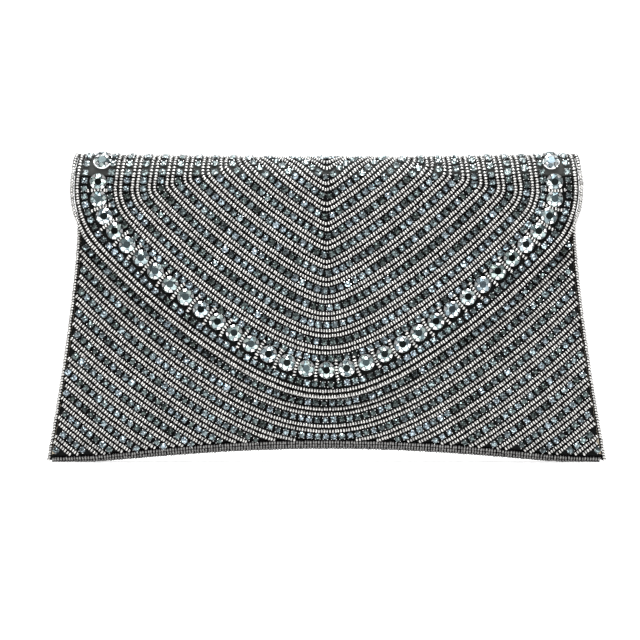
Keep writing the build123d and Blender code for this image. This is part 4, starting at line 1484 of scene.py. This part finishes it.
@dataclass
class StoneEdging(Assembly):
    """The big stones, their claw cups and the short bead rows between them."""

    inset: float = 12.4 * MM
    cup: float = 8.2 * MM
    space: float = 1.30 * MM
    crowding: float = 0.93
    each_side: int = 16
    corner_angle: float = 36.5
    arc_beads: int = 7
    arc_reach: float = 4.4 * MM
    arc_height: float = 1.5 * MM
    arc_bow: float = 0.35 * MM
    arc_lean: float = 0.25

    def distances(self) -> np.ndarray:
        """Distance of each stone from the tip: cup and space each, spaces closing by a fourth power."""
        i = np.arange(1, self.each_side + 1)
        steps = self.cup + self.space * (1 - self.crowding * (i / self.each_side) ** 4)
        return np.concatenate([[0.0], np.cumsum(steps)])

    def places(self, chart: np.ndarray, heading: np.ndarray) -> Placement:
        """Places on the flap and its mirror image, the middle one kept once."""
        off = chart[:, 0] > 1.0 * MM
        chart = np.concatenate([chart, chart[off] * [-1, 1]])
        heading = np.concatenate([heading, heading[off] * [1, -1]])
        return self.rows.frames(self.shape.flap_point, chart, heading, 0.0)

    def along_line(self, distances: np.ndarray) -> Placement:
        """Places at the given distances from the tip along the stone line."""
        line = self.rows.edge.line(self.inset, 0.5 * MM)
        line = line[len(line) // 2 :]
        length = np.concatenate([[0.0], np.cumsum(np.linalg.norm(np.diff(line, axis=0), axis=1))])
        chart = np.stack([np.interp(distances, length, line[:, k]) for k in range(2)], 1)
        ahead = np.stack([np.interp(distances + 0.5 * MM, length, line[:, k]) for k in range(2)], 1)
        return self.places(chart, unit(ahead - chart))

    def on_fold(self) -> Placement:
        """The crest's stone and the one on its front edge, each side, on the stone line."""
        line = self.rows.edge.line(self.inset, 0.5 * MM)
        line = line[len(line) // 2 :]
        s = self.shape
        x = np.full(2, np.interp(s.fold_base + s.fold_radius, line[:, 1], line[:, 0]))
        lead = s.fold_top(x) - s.fold_radius - s.fold_base
        corner = s.fold_base + lead + s.fold_radius * math.radians(self.corner_angle)
        v = np.array([self.rows.crest_v(x)[0], corner[0]])
        return self.places(np.stack([x, v], 1), np.tile([0.0, 1.0], (2, 1)))

    def build(self) -> None:
        """Makes stones, cups and bead arcs, on the flap and over the front of the fold."""
        kinds = (
            ("cut_stones", LargeStone().stone(), self.finishes.stones, "stones", "stones"),
            ("claw_cups", LargeStone().cup(), self.finishes.claws, "settings", "stone_cups"),
        )
        for body, placed in (("flap", self.along_line(self.distances())), ("fold", self.on_fold())):
            for name, form, finish, slot, node in kinds:
                rng = self.rng(body)
                made = copies_object(f"{body}_{name}", form, placed, rng, Wobble(0.02, 0.01), False)
                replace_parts(dress(made, slot, finish), f"{body}_{node}")
                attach(made, body)
            LOG.info("%s stones: %d", body, len(placed))
        self.arcs()

    def arcs(self) -> None:
        """Rows of beads that curve across the stone line, halfway between two stones."""
        at = self.distances()
        placed = self.along_line((at[1:] + at[:-1]) / 2)
        across = np.cross(placed.out, placed.along)
        parts = []
        for k in range(self.arc_beads):
            share = 2 * k / (self.arc_beads - 1) - 1
            origin = placed.origin + across * share * self.arc_reach + placed.out * self.arc_height
            origin = origin + placed.along * self.arc_bow * (share**2 - 0.5)
            heading = unit(across + placed.along * self.arc_lean * share)
            parts.append(Placement(origin, heading, placed.out))
        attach(self.beads("stone_arcs", joined_places(parts), "flap_bead_arcs"), "flap")


@dataclass
class Hardware:
    """Finishes of the solids that keep their drawn shape: boards, snap, magnet and stay."""

    finishes: Finishes

    def build(self) -> None:
        """Dresses each solid."""
        plan = {
            "front_board": self.finishes.board, "back_board": self.finishes.board,
            "flap_board": self.finishes.board, "fold_stay": self.finishes.board,
            "snap_socket": self.finishes.steel, "snap_stud": self.finishes.steel,
            "socket_washer": self.finishes.steel, "stud_washer": self.finishes.steel,
            "snap_magnet": self.finishes.magnet,
        }
        for node, finish in plan.items():
            dress(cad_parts[node], "", finish)
            LOG.info("%s dressed", node)


@dataclass
class Studio:
    """Pale floor and backdrop, soft lights and the camera."""

    distance: float = 1.45
    view_width: float = 0.304
    eye: tuple[float, float] = (-0.0031, 0.0672)
    sensor: float = 36.0

    def build(self) -> None:
        """Makes the floor, the lights, the sky and the camera."""
        self.backdrop()
        self.lamp("key_light", (-0.15, -0.8, 0.9), (0.0, 0.0, 0.07), 0.45, 8.0)
        self.lamp("top_light", (0.0, -0.05, 0.95), (0.0, 0.0, 0.1), 0.5, 7.0)
        self.lamp("fill_light", (0.7, -1.0, 0.25), (0.0, 0.0, 0.07), 0.4, 2.5)
        world = bpy.data.worlds.new("studio_sky")
        world.use_nodes = True
        world.node_tree.nodes["Background"].inputs["Color"].default_value = (*WHITE, 1)
        world.node_tree.nodes["Background"].inputs["Strength"].default_value = 0.45
        bpy.context.scene.world = world
        bpy.context.scene.view_settings.view_transform = "Standard"
        camera = bpy.data.cameras.new("camera")
        camera.sensor_width = self.sensor
        camera.lens = self.sensor * self.distance / self.view_width
        made = bpy.data.objects.new("camera", camera)
        made.location = (self.eye[0], -self.distance, self.eye[1])
        made.rotation_euler = (math.pi / 2, 0, 0)
        bpy.context.scene.collection.objects.link(made)
        bpy.context.scene.camera = made

    def backdrop(self) -> None:
        """Floor that curves up into a wall: a flat run, a quarter turn and a rise, carried sideways."""
        turn = np.linspace(0, np.pi / 2, 16)
        y = np.concatenate([[-3.0], 1.2 + 0.8 * np.sin(turn), [2.0]])
        z = np.concatenate([[0.0], 0.8 - 0.8 * np.cos(turn), [4.0]]) - 0.0004
        x = np.array([-12.0, 12.0])
        points = np.stack([np.repeat(x, len(y)), np.tile(y, 2), np.tile(z, 2)], 1)
        n = len(y)
        faces = np.array([[i, i + n, i + n + 1, i + 1] for i in range(n - 1)])
        made = mesh_object("studio_floor", points, faces.ravel(), np.full(len(faces), 4), True)
        nodes = Nodes("studio_white")
        nodes.set(Base_Color=(0.9, 0.9, 0.9, 1), Roughness=0.8, Specular_IOR_Level=0.1)
        nodes.set(Emission_Color=(*WHITE, 1), Emission_Strength=0.62)
        made.data.materials.append(nodes.material)

    def lamp(self, name: str, place: Triple, aim: Triple, size: float, power: float) -> None:
        """Square soft light pointed at a place."""
        light = bpy.data.lights.new(name, "AREA")
        light.size = size
        light.energy = power
        made = bpy.data.objects.new(name, light)
        made.location = place
        direction = Vector(aim) - Vector(place)
        made.rotation_euler = direction.to_track_quat("-Z", "Y").to_euler()
        bpy.context.scene.collection.objects.link(made)


def main() -> None:
    """Builds the studio and the purse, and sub-assembly by sub-assembly."""
    logging.basicConfig(level=logging.INFO, format="%(message)s")
    Studio().build()
    shape = PurseShape.from_frame()
    rows = BeadRows(shape, FlapEdge(shape))
    finishes = Finishes.make()
    for assembly in (Pouch, Fold, Flap, StoneEdging):
        assembly(shape, rows, finishes).build()
    Hardware(finishes).build()


if __name__ == "__main__":
    main()
